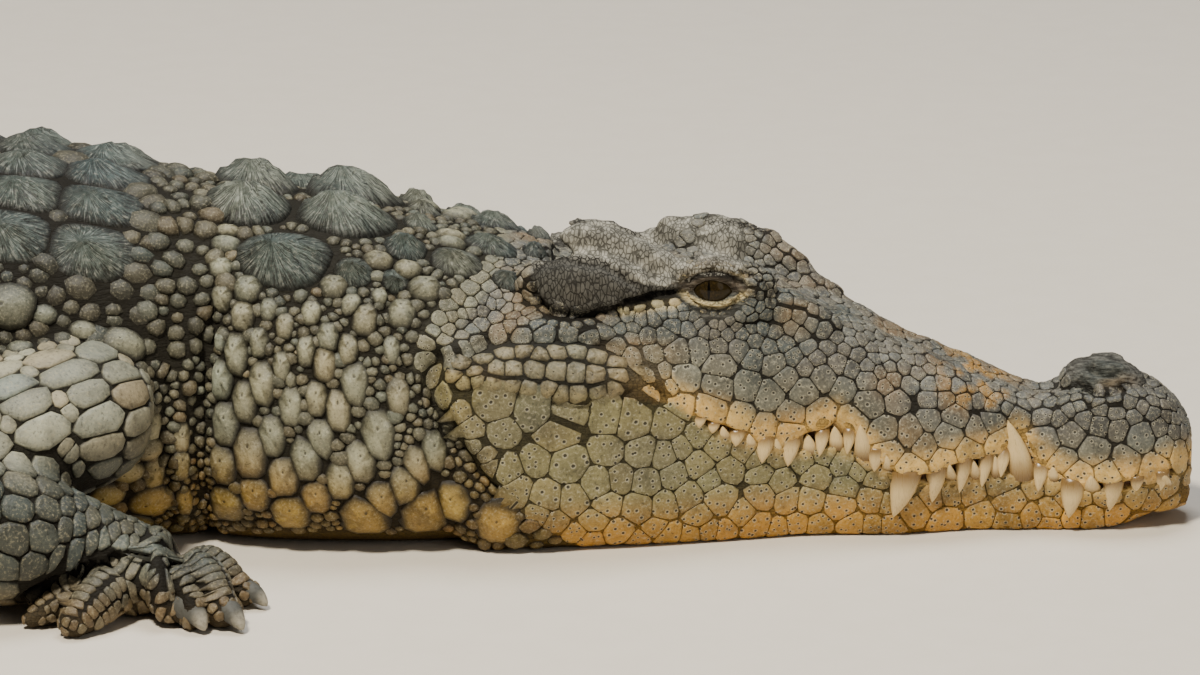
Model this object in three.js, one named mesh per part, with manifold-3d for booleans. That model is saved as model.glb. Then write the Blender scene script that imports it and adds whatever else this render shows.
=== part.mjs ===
// A resting adult Nile crocodile, life-size, as a still museum model: belly, jaw, feet and tail on the floor.
// Millimetres. +X runs towards the snout, +Y is the animal's left and +Z is up.
// The origin lies on the floor under the middle of the trunk.
import * as THREE from 'three';
import { LoftGeometry } from 'three/addons/geometries/LoftGeometry.js';
import { mergeVertices } from 'three/addons/utils/BufferGeometryUtils.js';
import Module from 'manifold-3d';

const wasm = await Module();
wasm.setup();

// ---------------------------------------------------------------- driving dimensions

const SNOUT_TIP = 1300; // the snout's tip, ahead of the origin
const TAIL_TIP = -2262; // the tail's end, measured along X
const GAP = 0.5; // the thin cut between neighbouring pieces
const FLOOR_CUT = 0; // everything below this level is cut to a flat

const EYE_BACK = 371; // the eye's centre behind the snout's tip
const EYE_SIDE = 50; // and out from the midline
const EYE_LEVEL = 194;
const EYE_RADIUS = 20;

const BODY_AROUND = 18; // points round a body section
const LIMB_AROUND = 8;

const COLOURS = {
  hide: 0x6f6f62,
  jaw: 0x9c8d5f,
  plate: 0x5d6464,
  eye: 0x3a2c14,
  claw: 0x4b4a45,
};

// ---------------------------------------------------------------- helpers

const rad = THREE.MathUtils.degToRad;
const vec = (x, y, z) => new THREE.Vector3(x, y, z);

// A smooth function through a few [place, value] stations, flat beyond the ends.
function profile(stations) {
  const places = stations.map((s) => s[0]);
  const values = stations.map((s) => s[1]);
  const slopes = places.map((_, i) => {
    const a = Math.max(i - 1, 0);
    const b = Math.min(i + 1, places.length - 1);
    return (values[b] - values[a]) / (places[b] - places[a]);
  });
  return (at) => {
    if (at <= places[0]) return values[0];
    if (at >= places.at(-1)) return values.at(-1);
    const i = places.findIndex((p) => p > at) - 1;
    const span = places[i + 1] - places[i];
    const t = (at - places[i]) / span;
    const ease = t * t * (3 - 2 * t);
    const lift = t * (1 - t) * span;
    return (
      values[i] * (1 - ease) + values[i + 1] * ease + lift * ((1 - t) * slopes[i] - t * slopes[i + 1])
    );
  };
}

// A closed geometry as a solid, with shared vertices merged, collapsed faces dropped and faces out.
function solid(geometry) {
  const bare = geometry.index ? geometry.toNonIndexed() : geometry.clone();
  bare.deleteAttribute('normal');
  bare.deleteAttribute('uv');
  const merged = mergeVertices(bare, 1e-3);
  const faces = [];
  for (let i = 0; i < merged.index.count; i += 3) {
    const [a, b, c] = [0, 1, 2].map((k) => merged.index.getX(i + k));
    if (a !== b && b !== c && a !== c) faces.push(a, b, c);
  }
  const build = (triVerts) =>
    new wasm.Manifold(
      new wasm.Mesh({ numProp: 3, vertProperties: merged.attributes.position.array, triVerts }),
    );
  const made = build(new Uint32Array(faces));
  return made.volume() > 0 ? made : build(new Uint32Array(faces.reverse()));
}

// A skin over rings of points, closed at each end by a fan to the ring's middle.
function loft(sections) {
  const pinch = (ring) => {
    const middle = ring.reduce((sum, p) => sum.add(p), vec(0, 0, 0)).divideScalar(ring.length);
    return ring.map(() => middle);
  };
  return solid(new LoftGeometry([pinch(sections[0]), ...sections, pinch(sections.at(-1))]));
}

const join = (pieces) => pieces.reduce((sum, piece) => sum.add(piece));

// The largest body of a solid, without the crumbs that a cut can leave.
function main(piece) {
  return piece.decompose().sort((a, b) => b.volume() - a.volume())[0];
}

function ellipsoid([x, y, z], [rx, ry, rz], { pitch = 0, yaw = 0, wide = 6, high = 5 } = {}) {
  const geometry = new THREE.SphereGeometry(1, wide, high)
    .scale(rx, ry, rz)
    .rotateY(rad(pitch))
    .rotateZ(rad(yaw))
    .translate(x, y, z);
  return solid(geometry);
}

// Everything on the far side of a plane through a point, as one large block.
function beyond(point, direction) {
  const reach = 6000;
  const block = new THREE.BoxGeometry(reach, reach, reach).translate(reach / 2, 0, 0);
  const turn = new THREE.Quaternion().setFromUnitVectors(vec(1, 0, 0), direction.clone().normalize());
  return solid(block.applyQuaternion(turn).translate(point.x, point.y, point.z));
}

const underground = beyond(vec(0, 0, FLOOR_CUT), vec(0, 0, -1));
const onFloor = (piece) => piece.subtract(underground);

// Two pieces either side of a thin cut.
function part(piece, point, direction) {
  const half = direction.clone().normalize().multiplyScalar(GAP / 2);
  const front = main(piece.subtract(beyond(point.clone().add(half), direction.clone().negate())));
  const back = main(piece.subtract(beyond(point.clone().sub(half), direction)));
  return [front, back];
}

// ---------------------------------------------------------------- body: neck, trunk and tail

// Stations run along X from the tail's tip to the back of the head.
const spineSway = profile([
  [TAIL_TIP, 250], [-1900, 235], [-1500, 160], [-1100, 62], [-760, 10], [-560, 0], [800, 0],
]);
const halfWidth = profile([
  [TAIL_TIP, 4], [-2080, 14], [-1800, 27], [-1400, 48], [-1000, 80], [-740, 112], [-560, 148],
  [-430, 192], [-230, 226], [0, 238], [240, 216], [400, 180], [500, 146], [545, 140], [600, 152],
  [700, 148], [800, 112],
]);
const backLevel = profile([
  [TAIL_TIP, 22], [-2080, 58], [-1800, 88], [-1400, 124], [-1000, 162], [-740, 200], [-560, 236],
  [-430, 262], [-230, 286], [0, 294], [240, 290], [400, 283], [490, 270], [575, 254], [650, 247],
  [720, 233], [800, 216],
]);
const fullness = profile([[-1400, 2.0], [-740, 2.15], [-400, 2.5], [500, 2.4], [800, 2.2]]);

const WIDEST = 0.38; // the level of the greatest width, as a share of the back's level
const BELLY_DROP = 12; // how far the round belly would reach under the floor

function bodySection(x, grow = 0) {
  const wide = halfWidth(x) + grow;
  const top = backLevel(x) + grow;
  const level = top * WIDEST;
  const drop = level + Math.min(BELLY_DROP, top * 0.12) + grow;
  const corner = 2 / fullness(x);
  const sag = 2 / (fullness(x) + 0.7); // the underside is fuller than the back
  return Array.from({ length: BODY_AROUND }, (_, i) => {
    const a = ((i + 0.5) / BODY_AROUND) * 2 * Math.PI;
    const bend = a > Math.PI ? sag : corner;
    const side = Math.sign(Math.cos(a)) * Math.abs(Math.cos(a)) ** bend;
    const rise = Math.sign(Math.sin(a)) * Math.abs(Math.sin(a)) ** bend;
    return vec(x, spineSway(x) + wide * side, level + rise * (rise > 0 ? top - level : drop));
  });
}

// Rings lie closer together towards the head, where the neck folds.
function bodySolid(grow = 0) {
  const rings = 31;
  const head = 800;
  return loft(
    Array.from({ length: rings + 1 }, (_, i) =>
      bodySection(TAIL_TIP + (head - TAIL_TIP) * (i / rings) ** 0.93, grow),
    ),
  );
}

// A keeled plate standing on the back: a low roof whose peak lies to its rear.
function keel([x, y, base], [length, width, height], { lean = 0, crown = 0, sides = 4 } = {}) {
  const ring = (share, shift, z) =>
    Array.from({ length: sides }, (_, i) => {
      const a = (i / sides) * 2 * Math.PI;
      const p = vec((Math.cos(a) * share - shift) * (length / 2), (Math.sin(a) * share * width) / 2, z);
      return p.applyAxisAngle(vec(1, 0, 0), lean).add(vec(x, y, base));
    });
  return loft([ring(1, 0, -height), ring(1, 0, 0), ring(crown, 0.55, height)]);
}

// The body's surface at a place along X, at an angle from upright, for what stands on the back.
function onBack(x, angle) {
  const corner = 2 / fullness(x);
  const level = backLevel(x) * WIDEST;
  const side = Math.sign(angle) * Math.abs(Math.sin(angle)) ** corner;
  const rise = Math.abs(Math.cos(angle)) ** corner;
  return [x, spineSway(x) + halfWidth(x) * side, level + rise * (backLevel(x) - level)];
}

// The nape's shield: two large pairs on the midline and one plate on each side.
const NAPE_PLATES = [
  { x: 642, angle: 13, size: [80, 62, 13] },
  { x: 574, angle: 11, size: [72, 60, 14] },
  { x: 606, angle: 33, size: [68, 56, 12] },
];

function napeShield() {
  return join(
    NAPE_PLATES.flatMap(({ x, angle, size }) =>
      [-1, 1].map((side) =>
        keel(onBack(x, side * rad(angle)), size, {
          lean: -side * rad(angle) * 0.8,
          crown: 0.3,
          sides: 6,
        }),
      ),
    ),
  );
}

// The tail's crest: two rows of blades from the hips that close to a single row towards the tip.
const CREST_START = -650;
const CREST_MERGE = -1330;
const DOUBLE_BLADES = 11;
const SINGLE_BLADES = 14;
const bladeHeight = profile([[TAIL_TIP, 12], [-1900, 30], [CREST_MERGE, 38], [-900, 26], [CREST_START, 12]]);

function crestBlade(x, offset, length) {
  const height = bladeHeight(x);
  const base = backLevel(x) - 10 - Math.abs(offset) * 0.12;
  const lean = -Math.sign(offset) * 0.18;
  return keel([x, spineSway(x) + offset, base], [length, 18, height + 10], { lean });
}

function tailCrest() {
  const blades = [];
  const doubleStep = (CREST_START - CREST_MERGE) / DOUBLE_BLADES;
  for (let i = 0; i < DOUBLE_BLADES; i++) {
    const x = CREST_START - doubleStep * (i + 0.5);
    const offset = 12 + 30 * (1 - i / DOUBLE_BLADES);
    blades.push(crestBlade(x, offset, doubleStep * 0.96), crestBlade(x, -offset, doubleStep * 0.96));
  }
  const singleStep = (CREST_MERGE - TAIL_TIP - 40) / SINGLE_BLADES;
  for (let i = 0; i < SINGLE_BLADES; i++)
    blades.push(crestBlade(CREST_MERGE - singleStep * (i + 0.5), 0, singleStep * 0.96));
  return join(blades);
}

// ---------------------------------------------------------------- head

// Head stations run back from the snout's tip, as "d".
const headX = (d) => SNOUT_TIP - d;

// The lips' meeting line, with the waves that a closed crocodile mouth has.
const lipLevel = profile([
  [0, 44], [30, 42], [80, 41], [108, 51], [134, 57], [176, 58], [222, 51], [250, 72], [275, 92],
  [305, 89], [335, 87], [375, 100], [424, 124], [470, 138], [530, 150], [600, 158],
]);
const lipWidth = profile([
  [0, 16], [10, 31], [28, 44], [62, 54], [90, 51], [117, 45], [137, 42], [154, 50], [190, 66],
  [222, 75], [250, 73], [278, 71], [305, 75], [335, 86], [370, 99], [430, 118], [490, 130],
  [530, 122], [548, 96],
]);
const crownLevel = profile([
  [0, 68], [10, 90], [28, 106], [60, 116], [90, 112], [118, 101], [150, 110], [188, 126],
  [228, 142], [262, 160], [306, 178], [345, 191], [380, 201], [415, 214], [450, 226], [500, 230],
  [548, 212],
]);
const crownWidth = profile([
  [0, 8], [10, 20], [28, 30], [62, 38], [100, 32], [120, 30], [190, 42], [260, 46], [320, 50],
  [365, 58], [430, 64], [500, 70], [548, 66],
]);
const cheekWidth = profile([
  [0, 14], [10, 31], [28, 43], [62, 53], [90, 50], [117, 44], [137, 43], [154, 50], [222, 70],
  [290, 73], [340, 83], [400, 95], [450, 108], [500, 120], [548, 92],
]);

const HEAD_LENGTH = 548;

// Half of an upper-head section, from under the lip, up the cheek and over the crown to the midline.
function headSection(d, grow = 0) {
  const lip = lipLevel(d);
  const crown = crownLevel(d);
  const between = (share) => lip + (crown - lip) * share;
  const outline = new THREE.CatmullRomCurve3(
    [
      vec(0, 0, lip - 30),
      vec(0, lipWidth(d) * 0.72, lip - 30),
      vec(0, lipWidth(d) - 2, lip - 8),
      vec(0, lipWidth(d) + 1, lip + 10),
      vec(0, cheekWidth(d), between(0.45)),
      vec(0, crownWidth(d) + 4, between(0.9)),
      vec(0, crownWidth(d) * 0.45, crown + 1),
      vec(0, 0, crown - 1),
    ],
    false,
    'centripetal',
  );
  const steps = 7;
  const half = outline.getSpacedPoints(steps);
  const right = half.map((p) => vec(headX(d), p.y + grow * (p.y > 1), p.z + grow * (p.z > lip)));
  const left = right.slice(1, steps).map((p) => vec(p.x, -p.y, p.z));
  return [...right, ...left.reverse()];
}

function upperHeadLoft(grow = 0) {
  const rings = 22;
  const sections = Array.from({ length: rings + 1 }, (_, i) => {
    const t = i / rings;
    return headSection(HEAD_LENGTH * (0.25 * t * t + 0.75 * t ** 1.15), grow);
  });
  return loft(sections);
}

// Raised forms on each side of the skull, mirrored.
function headForms(grow = 0) {
  const forms = [
    { at: [366, 50, 197], size: [44, 21, 20], pitch: 10 }, // brow
    { at: [372, 55, 178], size: [46, 20, 18] }, // lower lid
    { at: [456, 60, 219], size: [62, 17, 24], pitch: 9, yaw: -3 }, // ridge over the ear
    { at: [470, 72, 200], size: [54, 24, 27], pitch: 3 }, // ear flap
    { at: [312, 42, 170], size: [46, 18, 18], pitch: 22 }, // ridge ahead of the eye
  ];
  const paired = forms.flatMap(({ at: [d, out, up], size, pitch = 0, yaw = 0 }) =>
    [-1, 1].map((side) =>
      ellipsoid([headX(d), side * out, up], size.map((s) => s + grow), { pitch, yaw: side * yaw }),
    ),
  );
  const nostrils = ellipsoid([headX(70), 0, 110], [35 + grow, 29 + grow, 19 + grow], { pitch: 3 });
  return join([nostrils, ...paired]);
}

// The lower jaw: flat beneath, a little narrower than the lips in front and wider at its joint.
const jawWidth = profile([
  [6, 14], [16, 26], [36, 37], [62, 45], [90, 46], [117, 47], [136, 50], [160, 50], [190, 57],
  [222, 66], [250, 70], [278, 73], [310, 78], [370, 97], [430, 116], [490, 130], [550, 138],
  [584, 126], [600, 90],
]);
const jawTop = (d) => lipLevel(d) + 24 * THREE.MathUtils.smoothstep(d, 560, 600);
const jawFoot = profile([[6, 26], [22, 8], [44, -4], [100, -9], [520, -9], [566, 6], [600, 50]]);

const JAW_FRONT = 6;
const JAW_BACK = 600;

function jawSection(d, grow = 0) {
  const foot = jawFoot(d);
  const top = jawTop(d) + 6;
  const wide = jawWidth(d) + grow;
  const outline = new THREE.CatmullRomCurve3(
    [
      vec(0, 0, foot - grow),
      vec(0, wide * 0.76, foot - grow),
      vec(0, wide * 0.98, foot + (top - foot) * 0.22),
      vec(0, wide, foot + (top - foot) * 0.6),
      vec(0, wide * 0.97, top + grow),
      vec(0, wide * 0.5, top + 4 + grow),
      vec(0, 0, top + 4 + grow),
    ],
    false,
    'centripetal',
  );
  const steps = 6;
  const half = outline.getSpacedPoints(steps).map((p) => vec(headX(d), p.y, p.z));
  const other = half.slice(1, steps).map((p) => vec(p.x, -p.y, p.z));
  return [...half, ...other.reverse()];
}

function lowerJawLoft(grow = 0) {
  const rings = 16;
  return loft(
    Array.from({ length: rings + 1 }, (_, i) =>
      jawSection(JAW_FRONT + (JAW_BACK - JAW_FRONT) * (i / rings) ** 1.1, grow),
    ),
  );
}

// The space above or below the lips' meeting line, used to part the jaws.
function mouthBlock(direction, shift) {
  const shape = new THREE.Shape();
  const far = direction * 400;
  const line = Array.from({ length: 24 }, (_, i) => -10 + i * 27);
  shape.moveTo(headX(line[0]), far);
  line.forEach((d) => shape.lineTo(headX(d), lipLevel(Math.max(d, 0)) + shift));
  shape.lineTo(headX(line.at(-1)), far);
  const depth = 400;
  const block = new THREE.ExtrudeGeometry(shape, { depth, bevelEnabled: false });
  return solid(block.rotateX(Math.PI / 2).translate(0, depth / 2, 0));
}

// Teeth as [behind the tip, length, width]. They show outside the closed lips.
const UPPER_TEETH = [
  [22, 20, 10], [61, 28, 13], [92, 34, 17], [116, 20, 11], [144, 24, 12], [158, 21, 10],
  [176, 23, 12], [195, 29, 14], [222, 40, 20], [243, 20, 10], [308, 20, 16], [329, 22, 17],
];
const LOWER_TEETH = [[132, 42, 19], [253, 27, 15], [273, 20, 13]];
const TOOTH_DEPTH = 0.6; // a tooth's thickness across the lip, as a share of its width

// A tooth is a cone with its root sunk in the gum, leaning a little back along the jaw.
function tooth([d, length, width], side, up, grow = 0) {
  const half = (width / 2) * TOOTH_DEPTH;
  const out = up > 0 ? jawWidth(d) - half * 0.6 : lipWidth(d) - half * 0.75;
  const root = 9;
  const tip = length + grow * 4;
  const cone = new THREE.ConeGeometry(1, tip + root, 4)
    .rotateX((up * Math.PI) / 2)
    .scale(width * 0.62 + grow * 1.6, width * 0.62 * TOOTH_DEPTH + grow * 1.6, 1)
    .translate(0, 0, (up * (tip - root)) / 2);
  const lean = new THREE.Matrix4().makeShear(0, 0, 0, 0, -0.16 * up, 0);
  return solid(cone.applyMatrix4(lean).translate(headX(d), side * out, lipLevel(d) - up * 3));
}

const teeth = (rows, up, grow = 0) =>
  join(rows.flatMap((row) => [-1, 1].map((side) => tooth(row, side, up, grow))));

// The almond between the lids, through which the eyeball shows.
const lidOpening = (side) =>
  ellipsoid([headX(EYE_BACK), side * (EYE_SIDE + 24), EYE_LEVEL + 1], [21, 17, 10], { pitch: 4 });
const eyeCentre = (side) => [headX(EYE_BACK), side * EYE_SIDE, EYE_LEVEL];
const eyeball = (side, grow = 0) =>
  ellipsoid(eyeCentre(side), Array(3).fill(EYE_RADIUS + grow), { wide: 9, high: 6 });

function headPieces() {
  const upper = upperHeadLoft().add(headForms()).subtract(mouthBlock(-1, GAP / 2));
  const sockets = join([-1, 1].flatMap((side) => [eyeball(side, GAP), lidOpening(side)]));
  const lower = lowerJawLoft().subtract(mouthBlock(1, -GAP / 2));
  const upperWithTeeth = upper
    .subtract(teeth(LOWER_TEETH, 1, GAP))
    .add(teeth(UPPER_TEETH, -1))
    .subtract(sockets);
  const lowerWithTeeth = lower
    .add(teeth(LOWER_TEETH, 1))
    .subtract(teeth(UPPER_TEETH, -1, GAP))
    .subtract(underground);
  return { head: main(upperWithTeeth), jaw: main(lowerWithTeeth) };
}

// What the neck has to make way for.
const headSpace = () =>
  join([
    upperHeadLoft(GAP),
    headForms(GAP),
    lowerJawLoft(GAP).subtract(mouthBlock(1, GAP)),
  ]);

// ---------------------------------------------------------------- limbs

// A limb segment: an elliptical tube through a few [x, y, z, half width, half height] stations.
function limb(stations, grow = 0, { around = LIMB_AROUND, rings = 6 } = {}) {
  const line = new THREE.CatmullRomCurve3(stations.map(([x, y, z]) => vec(x, y, z)), false, 'centripetal');
  const at = stations.map((_, i) => i / (stations.length - 1));
  const wide = profile(stations.map((s, i) => [at[i], s[3]]));
  const high = profile(stations.map((s, i) => [at[i], s[4]]));
  const sections = Array.from({ length: rings + 1 }, (_, i) => {
    const t = i / rings;
    const middle = line.getPoint(t);
    const along = line.getTangent(t);
    const side = vec(0, 0, 1).cross(along).normalize();
    const up = along.clone().cross(side).normalize();
    return Array.from({ length: around }, (_, k) => {
      const a = ((k + 0.5) / around) * 2 * Math.PI;
      return middle
        .clone()
        .addScaledVector(side, Math.cos(a) * (wide(t) + grow))
        .addScaledVector(up, Math.sin(a) * (high(t) + grow));
    });
  });
  return loft(sections);
}

// Joint places are given for the animal's right side and mirrored for its left, with small changes.
const FORE_LEG = {
  upper: [
    [470, -116, 112, 34, 40], [448, -156, 118, 70, 58], [392, -214, 108, 64, 58],
    [322, -258, 84, 52, 50], [290, -274, 72, 26, 28],
  ],
  lower: [
    [284, -268, 70, 34, 36], [330, -282, 70, 58, 60], [392, -284, 64, 58, 58],
    [446, -272, 48, 50, 46], [486, -262, 34, 40, 32],
  ],
  palm: [[466, -262, 32, 32, 28], [496, -262, 27, 52, 32], [524, -262, 20, 54, 25], [548, -258, 12, 32, 14]],
  digits: [
    { knuckle: [528, -232, 22], tip: [584, -262, 9], thick: 14, claw: [604, -272] },
    { knuckle: [530, -258, 26], tip: [574, -310, 11], thick: 16, claw: [592, -329] },
    { knuckle: [516, -280, 28], tip: [548, -314, 12], thick: 17, claw: [564, -332] },
    { knuckle: [500, -288, 24], tip: [468, -338, 6], thick: 13 },
    { knuckle: [484, -292, 18], tip: [434, -322, 6], thick: 11 },
  ],
};
const HIND_LEG = {
  upper: [
    [-500, -112, 120, 40, 46], [-478, -166, 128, 78, 66], [-410, -236, 110, 74, 64],
    [-336, -284, 84, 56, 52], [-306, -298, 70, 28, 28],
  ],
  lower: [
    [-304, -294, 66, 36, 36], [-352, -310, 62, 56, 54], [-428, -318, 52, 50, 48],
    [-496, -318, 38, 38, 36], [-524, -322, 30, 26, 26],
  ],
  palm: [
    [-522, -322, 26, 26, 24], [-490, -338, 24, 42, 24], [-420, -364, 18, 56, 20],
    [-366, -384, 12, 60, 13], [-346, -390, 9, 44, 9],
  ],
  digits: [
    { knuckle: [-384, -348, 18], tip: [-304, -346, 8], thick: 13, claw: [-282, -344] },
    { knuckle: [-372, -372, 20], tip: [-286, -388, 9], thick: 14, claw: [-262, -392] },
    { knuckle: [-374, -394, 19], tip: [-300, -430, 8], thick: 13, claw: [-280, -440] },
    { knuckle: [-390, -412, 16], tip: [-330, -466, 5], thick: 11 },
  ],
};

// A toe bends down from its knuckle to the floor.
function toe({ knuckle: [kx, ky, kz], tip: [tx, ty, tz], thick }, grow = 0) {
  const middle = [(kx + tx) / 2, (ky + ty) / 2, (kz + tz) / 2 + thick * 0.35];
  return limb(
    [
      [kx, ky, kz, thick, thick],
      [...middle, thick * 0.98, thick * 0.98],
      [tx, ty, tz, thick * 0.62, thick * 0.62],
    ],
    grow,
    { around: 5, rings: 2 },
  );
}

// A claw starts inside the toe's end and curves down to a point on the floor.
function claw({ tip: [tx, ty, tz], thick, claw: [cx, cy] }, grow = 0) {
  const start = vec(tx - (cx - tx) * 0.25, ty - (cy - ty) * 0.25, tz + thick * 0.35);
  const point = vec(cx, cy, 3);
  const bend = start.clone().lerp(point, 0.6).add(vec(0, 0, thick * 0.22));
  return onFloor(
    limb(
      [
        [...start.toArray(), thick * 0.42, thick * 0.5],
        [...bend.toArray(), thick * 0.34, thick * 0.4],
        [...point.toArray(), 1.6, 2.4],
      ],
      grow,
      { around: 5, rings: 2 },
    ),
  );
}

// A plan for one side: mirrored, turned a little about the limb's root and shifted along the body.
function onSide(plan, side, { shift = 0, swing = 0 } = {}) {
  const [rootX, rootY] = plan.upper[0];
  const place = ([x, y, z, ...rest]) => {
    const dx = x - rootX;
    const dy = y - rootY;
    const c = Math.cos(rad(swing));
    const s = Math.sin(rad(swing));
    return [rootX + shift + dx * c - dy * s, -side * (rootY + dx * s + dy * c), z, ...rest];
  };
  return {
    upper: plan.upper.map(place),
    lower: plan.lower.map(place),
    palm: plan.palm.map(place),
    digits: plan.digits.map((digit) => ({
      ...digit,
      knuckle: place(digit.knuckle),
      tip: place(digit.tip),
      claw: digit.claw && place(digit.claw),
    })),
  };
}

function legPieces(plan, body) {
  const upper = main(onFloor(limb(plan.upper)).subtract(body));
  const upperSpace = limb(plan.upper, GAP);
  const lower = main(onFloor(limb(plan.lower)).subtract(upperSpace).subtract(body));
  const lowerSpace = limb(plan.lower, GAP);
  const clawed = plan.digits.filter((digit) => digit.claw);
  const claws = clawed.map((digit) => claw(digit));
  const foot = onFloor(join([limb(plan.palm, 0, { around: 6, rings: 3 }), ...plan.digits.map((d) => toe(d))]))
    .subtract(lowerSpace)
    .subtract(upperSpace)
    .subtract(body)
    .subtract(join(clawed.map((digit) => claw(digit, GAP))));
  return { upper, lower, foot: main(foot), claws };
}

// ---------------------------------------------------------------- assembly

const named = [];
const add = (name, piece, colour) => named.push({ name, piece, colour });

const { head, jaw } = headPieces();
add('head', head, COLOURS.hide);
add('lower_jaw', jaw, COLOURS.jaw);
add('eye_right', eyeball(-1), COLOURS.eye);
add('eye_left', eyeball(1), COLOURS.eye);

// The body is one loft with its shield and crest, then parted by thin cuts.
const bodyWhole = join([bodySolid(), napeShield(), tailCrest()]);
let rest = main(onFloor(bodyWhole).subtract(headSpace()));
const cuts = [
  { name: 'neck', at: vec(500, 0, 0), facing: vec(1, 0, 0) },
  { name: 'trunk', at: vec(-620, 0, 0), facing: vec(1, 0, 0) },
  { name: 'tail_base', at: vec(-1150, 64, 0), facing: vec(1, -0.2, 0) },
  { name: 'tail_middle', at: vec(-1700, 205, 0), facing: vec(1, -0.2, 0) },
];
for (const { name, at, facing } of cuts) {
  const [front, back] = part(rest, at, facing);
  add(name, front, COLOURS.hide);
  rest = back;
}
add('tail_end', rest, COLOURS.hide);

const bodySpace = bodySolid(GAP);
const LEGS = [
  ['fore', 'right', FORE_LEG, -1, {}],
  ['fore', 'left', FORE_LEG, 1, { shift: -14, swing: -5 }],
  ['hind', 'right', HIND_LEG, -1, {}],
  ['hind', 'left', HIND_LEG, 1, { shift: 10, swing: 6 }],
];
for (const [end, flank, plan, side, change] of LEGS) {
  const leg = legPieces(onSide(plan, side, change), bodySpace);
  add(`${end}leg_upper_${flank}`, leg.upper, COLOURS.hide);
  add(`${end}leg_lower_${flank}`, leg.lower, COLOURS.hide);
  add(`${end}foot_${flank}`, leg.foot, COLOURS.hide);
  leg.claws.forEach((piece, i) => add(`${end}claw_${i + 1}_${flank}`, piece, COLOURS.claw));
}

function toMesh({ name, piece, colour }) {
  const raw = piece.getMesh();
  const geometry = new THREE.BufferGeometry();
  geometry.setAttribute('position', new THREE.BufferAttribute(raw.vertProperties, raw.numProp));
  geometry.setIndex(new THREE.BufferAttribute(raw.triVerts, 1));
  geometry.computeVertexNormals();
  const mesh = new THREE.Mesh(geometry, new THREE.MeshStandardMaterial({ color: colour, roughness: 0.7, metalness: 0 }));
  mesh.name = name;
  return mesh;
}

const model = new THREE.Group();
model.name = 'nile_crocodile';
named.forEach((entry) => model.add(toMesh(entry)));

export default model;
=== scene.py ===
"""A resting Nile crocodile, dressed over its fixed frame: one skin, solid scales, teeth, eyes and claws."""

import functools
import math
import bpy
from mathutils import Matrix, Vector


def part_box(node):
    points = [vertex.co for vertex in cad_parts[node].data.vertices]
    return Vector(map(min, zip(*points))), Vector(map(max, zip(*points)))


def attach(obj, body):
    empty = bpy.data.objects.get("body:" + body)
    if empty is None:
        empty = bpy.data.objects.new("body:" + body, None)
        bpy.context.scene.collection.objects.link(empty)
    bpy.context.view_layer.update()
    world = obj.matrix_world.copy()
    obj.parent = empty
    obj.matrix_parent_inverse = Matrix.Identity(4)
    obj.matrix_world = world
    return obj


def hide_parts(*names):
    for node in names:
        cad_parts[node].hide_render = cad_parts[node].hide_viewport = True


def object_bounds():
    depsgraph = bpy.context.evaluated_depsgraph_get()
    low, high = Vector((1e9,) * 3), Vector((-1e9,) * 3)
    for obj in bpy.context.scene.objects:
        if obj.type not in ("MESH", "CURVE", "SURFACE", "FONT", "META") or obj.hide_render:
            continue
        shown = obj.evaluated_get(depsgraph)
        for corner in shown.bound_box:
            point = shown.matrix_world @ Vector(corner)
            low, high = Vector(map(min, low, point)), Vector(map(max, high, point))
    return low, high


bl_info = {
    "name": "Resting crocodile",
    "version": (1, 0, 0),
    "blender": (4, 5, 0),
    "location": "View3D > Sidebar > Crocodile",
    "description": "Builds the skin, scales, teeth, eyes and claws of a resting Nile crocodile",
    "category": "Add Mesh",
}

import bmesh
import bpy
import numpy as np
from bpy.props import FloatProperty, FloatVectorProperty, IntProperty, PointerProperty
from mathutils import Matrix, Vector, noise
from mathutils.bvhtree import BVHTree
from mathutils.kdtree import KDTree

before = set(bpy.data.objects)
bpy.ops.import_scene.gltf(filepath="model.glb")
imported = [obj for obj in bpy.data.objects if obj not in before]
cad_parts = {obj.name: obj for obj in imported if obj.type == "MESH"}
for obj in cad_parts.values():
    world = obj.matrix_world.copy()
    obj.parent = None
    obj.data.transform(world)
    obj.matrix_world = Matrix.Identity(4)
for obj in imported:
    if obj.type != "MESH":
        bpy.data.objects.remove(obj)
CAD_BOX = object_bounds()

MM = 0.001  # every place and size below is in millimetres; meshes are written in metres
SNOUT_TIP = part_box("head")[1].x / MM
TAIL_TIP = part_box("tail_end")[0].x / MM
FLOOR = CAD_BOX[0].z / MM
BODY = "root"


# ---- numbers and curves


def fade(low, high, value):
    """From 0 at low to 1 at high, with a smooth way between; high may be the smaller number."""
    t = np.clip((value - low) / (high - low), 0.0, 1.0)
    return t * t * (3 - 2 * t)


def mix(a, b, share):
    return a + (b - a) * share


def bell(offset, width):
    """A smooth hump of height 1 round an offset of 0."""
    return np.exp(-((offset / width) ** 2))


def columns(*parts):
    """Places with the given values, or single numbers, as their columns."""
    return np.stack(np.broadcast_arrays(*parts), axis=-1)


def lengths(vectors):
    return np.linalg.norm(vectors, axis=-1)


def unit(vectors):
    return vectors / np.maximum(lengths(vectors), 1e-9)[..., None]


def dot(a, b):
    return (a * b).sum(axis=-1)


def full_turn(count):
    """Evenly spaced angles once round."""
    return np.linspace(0, 2 * np.pi, count, endpoint=False)


def run_along(line):
    """How far along a line each of its points lies."""
    return np.concatenate([[0], np.cumsum(lengths(np.diff(line, axis=0)))])


def length_of(line):
    return lengths(np.diff(line, axis=0)).sum()


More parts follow.
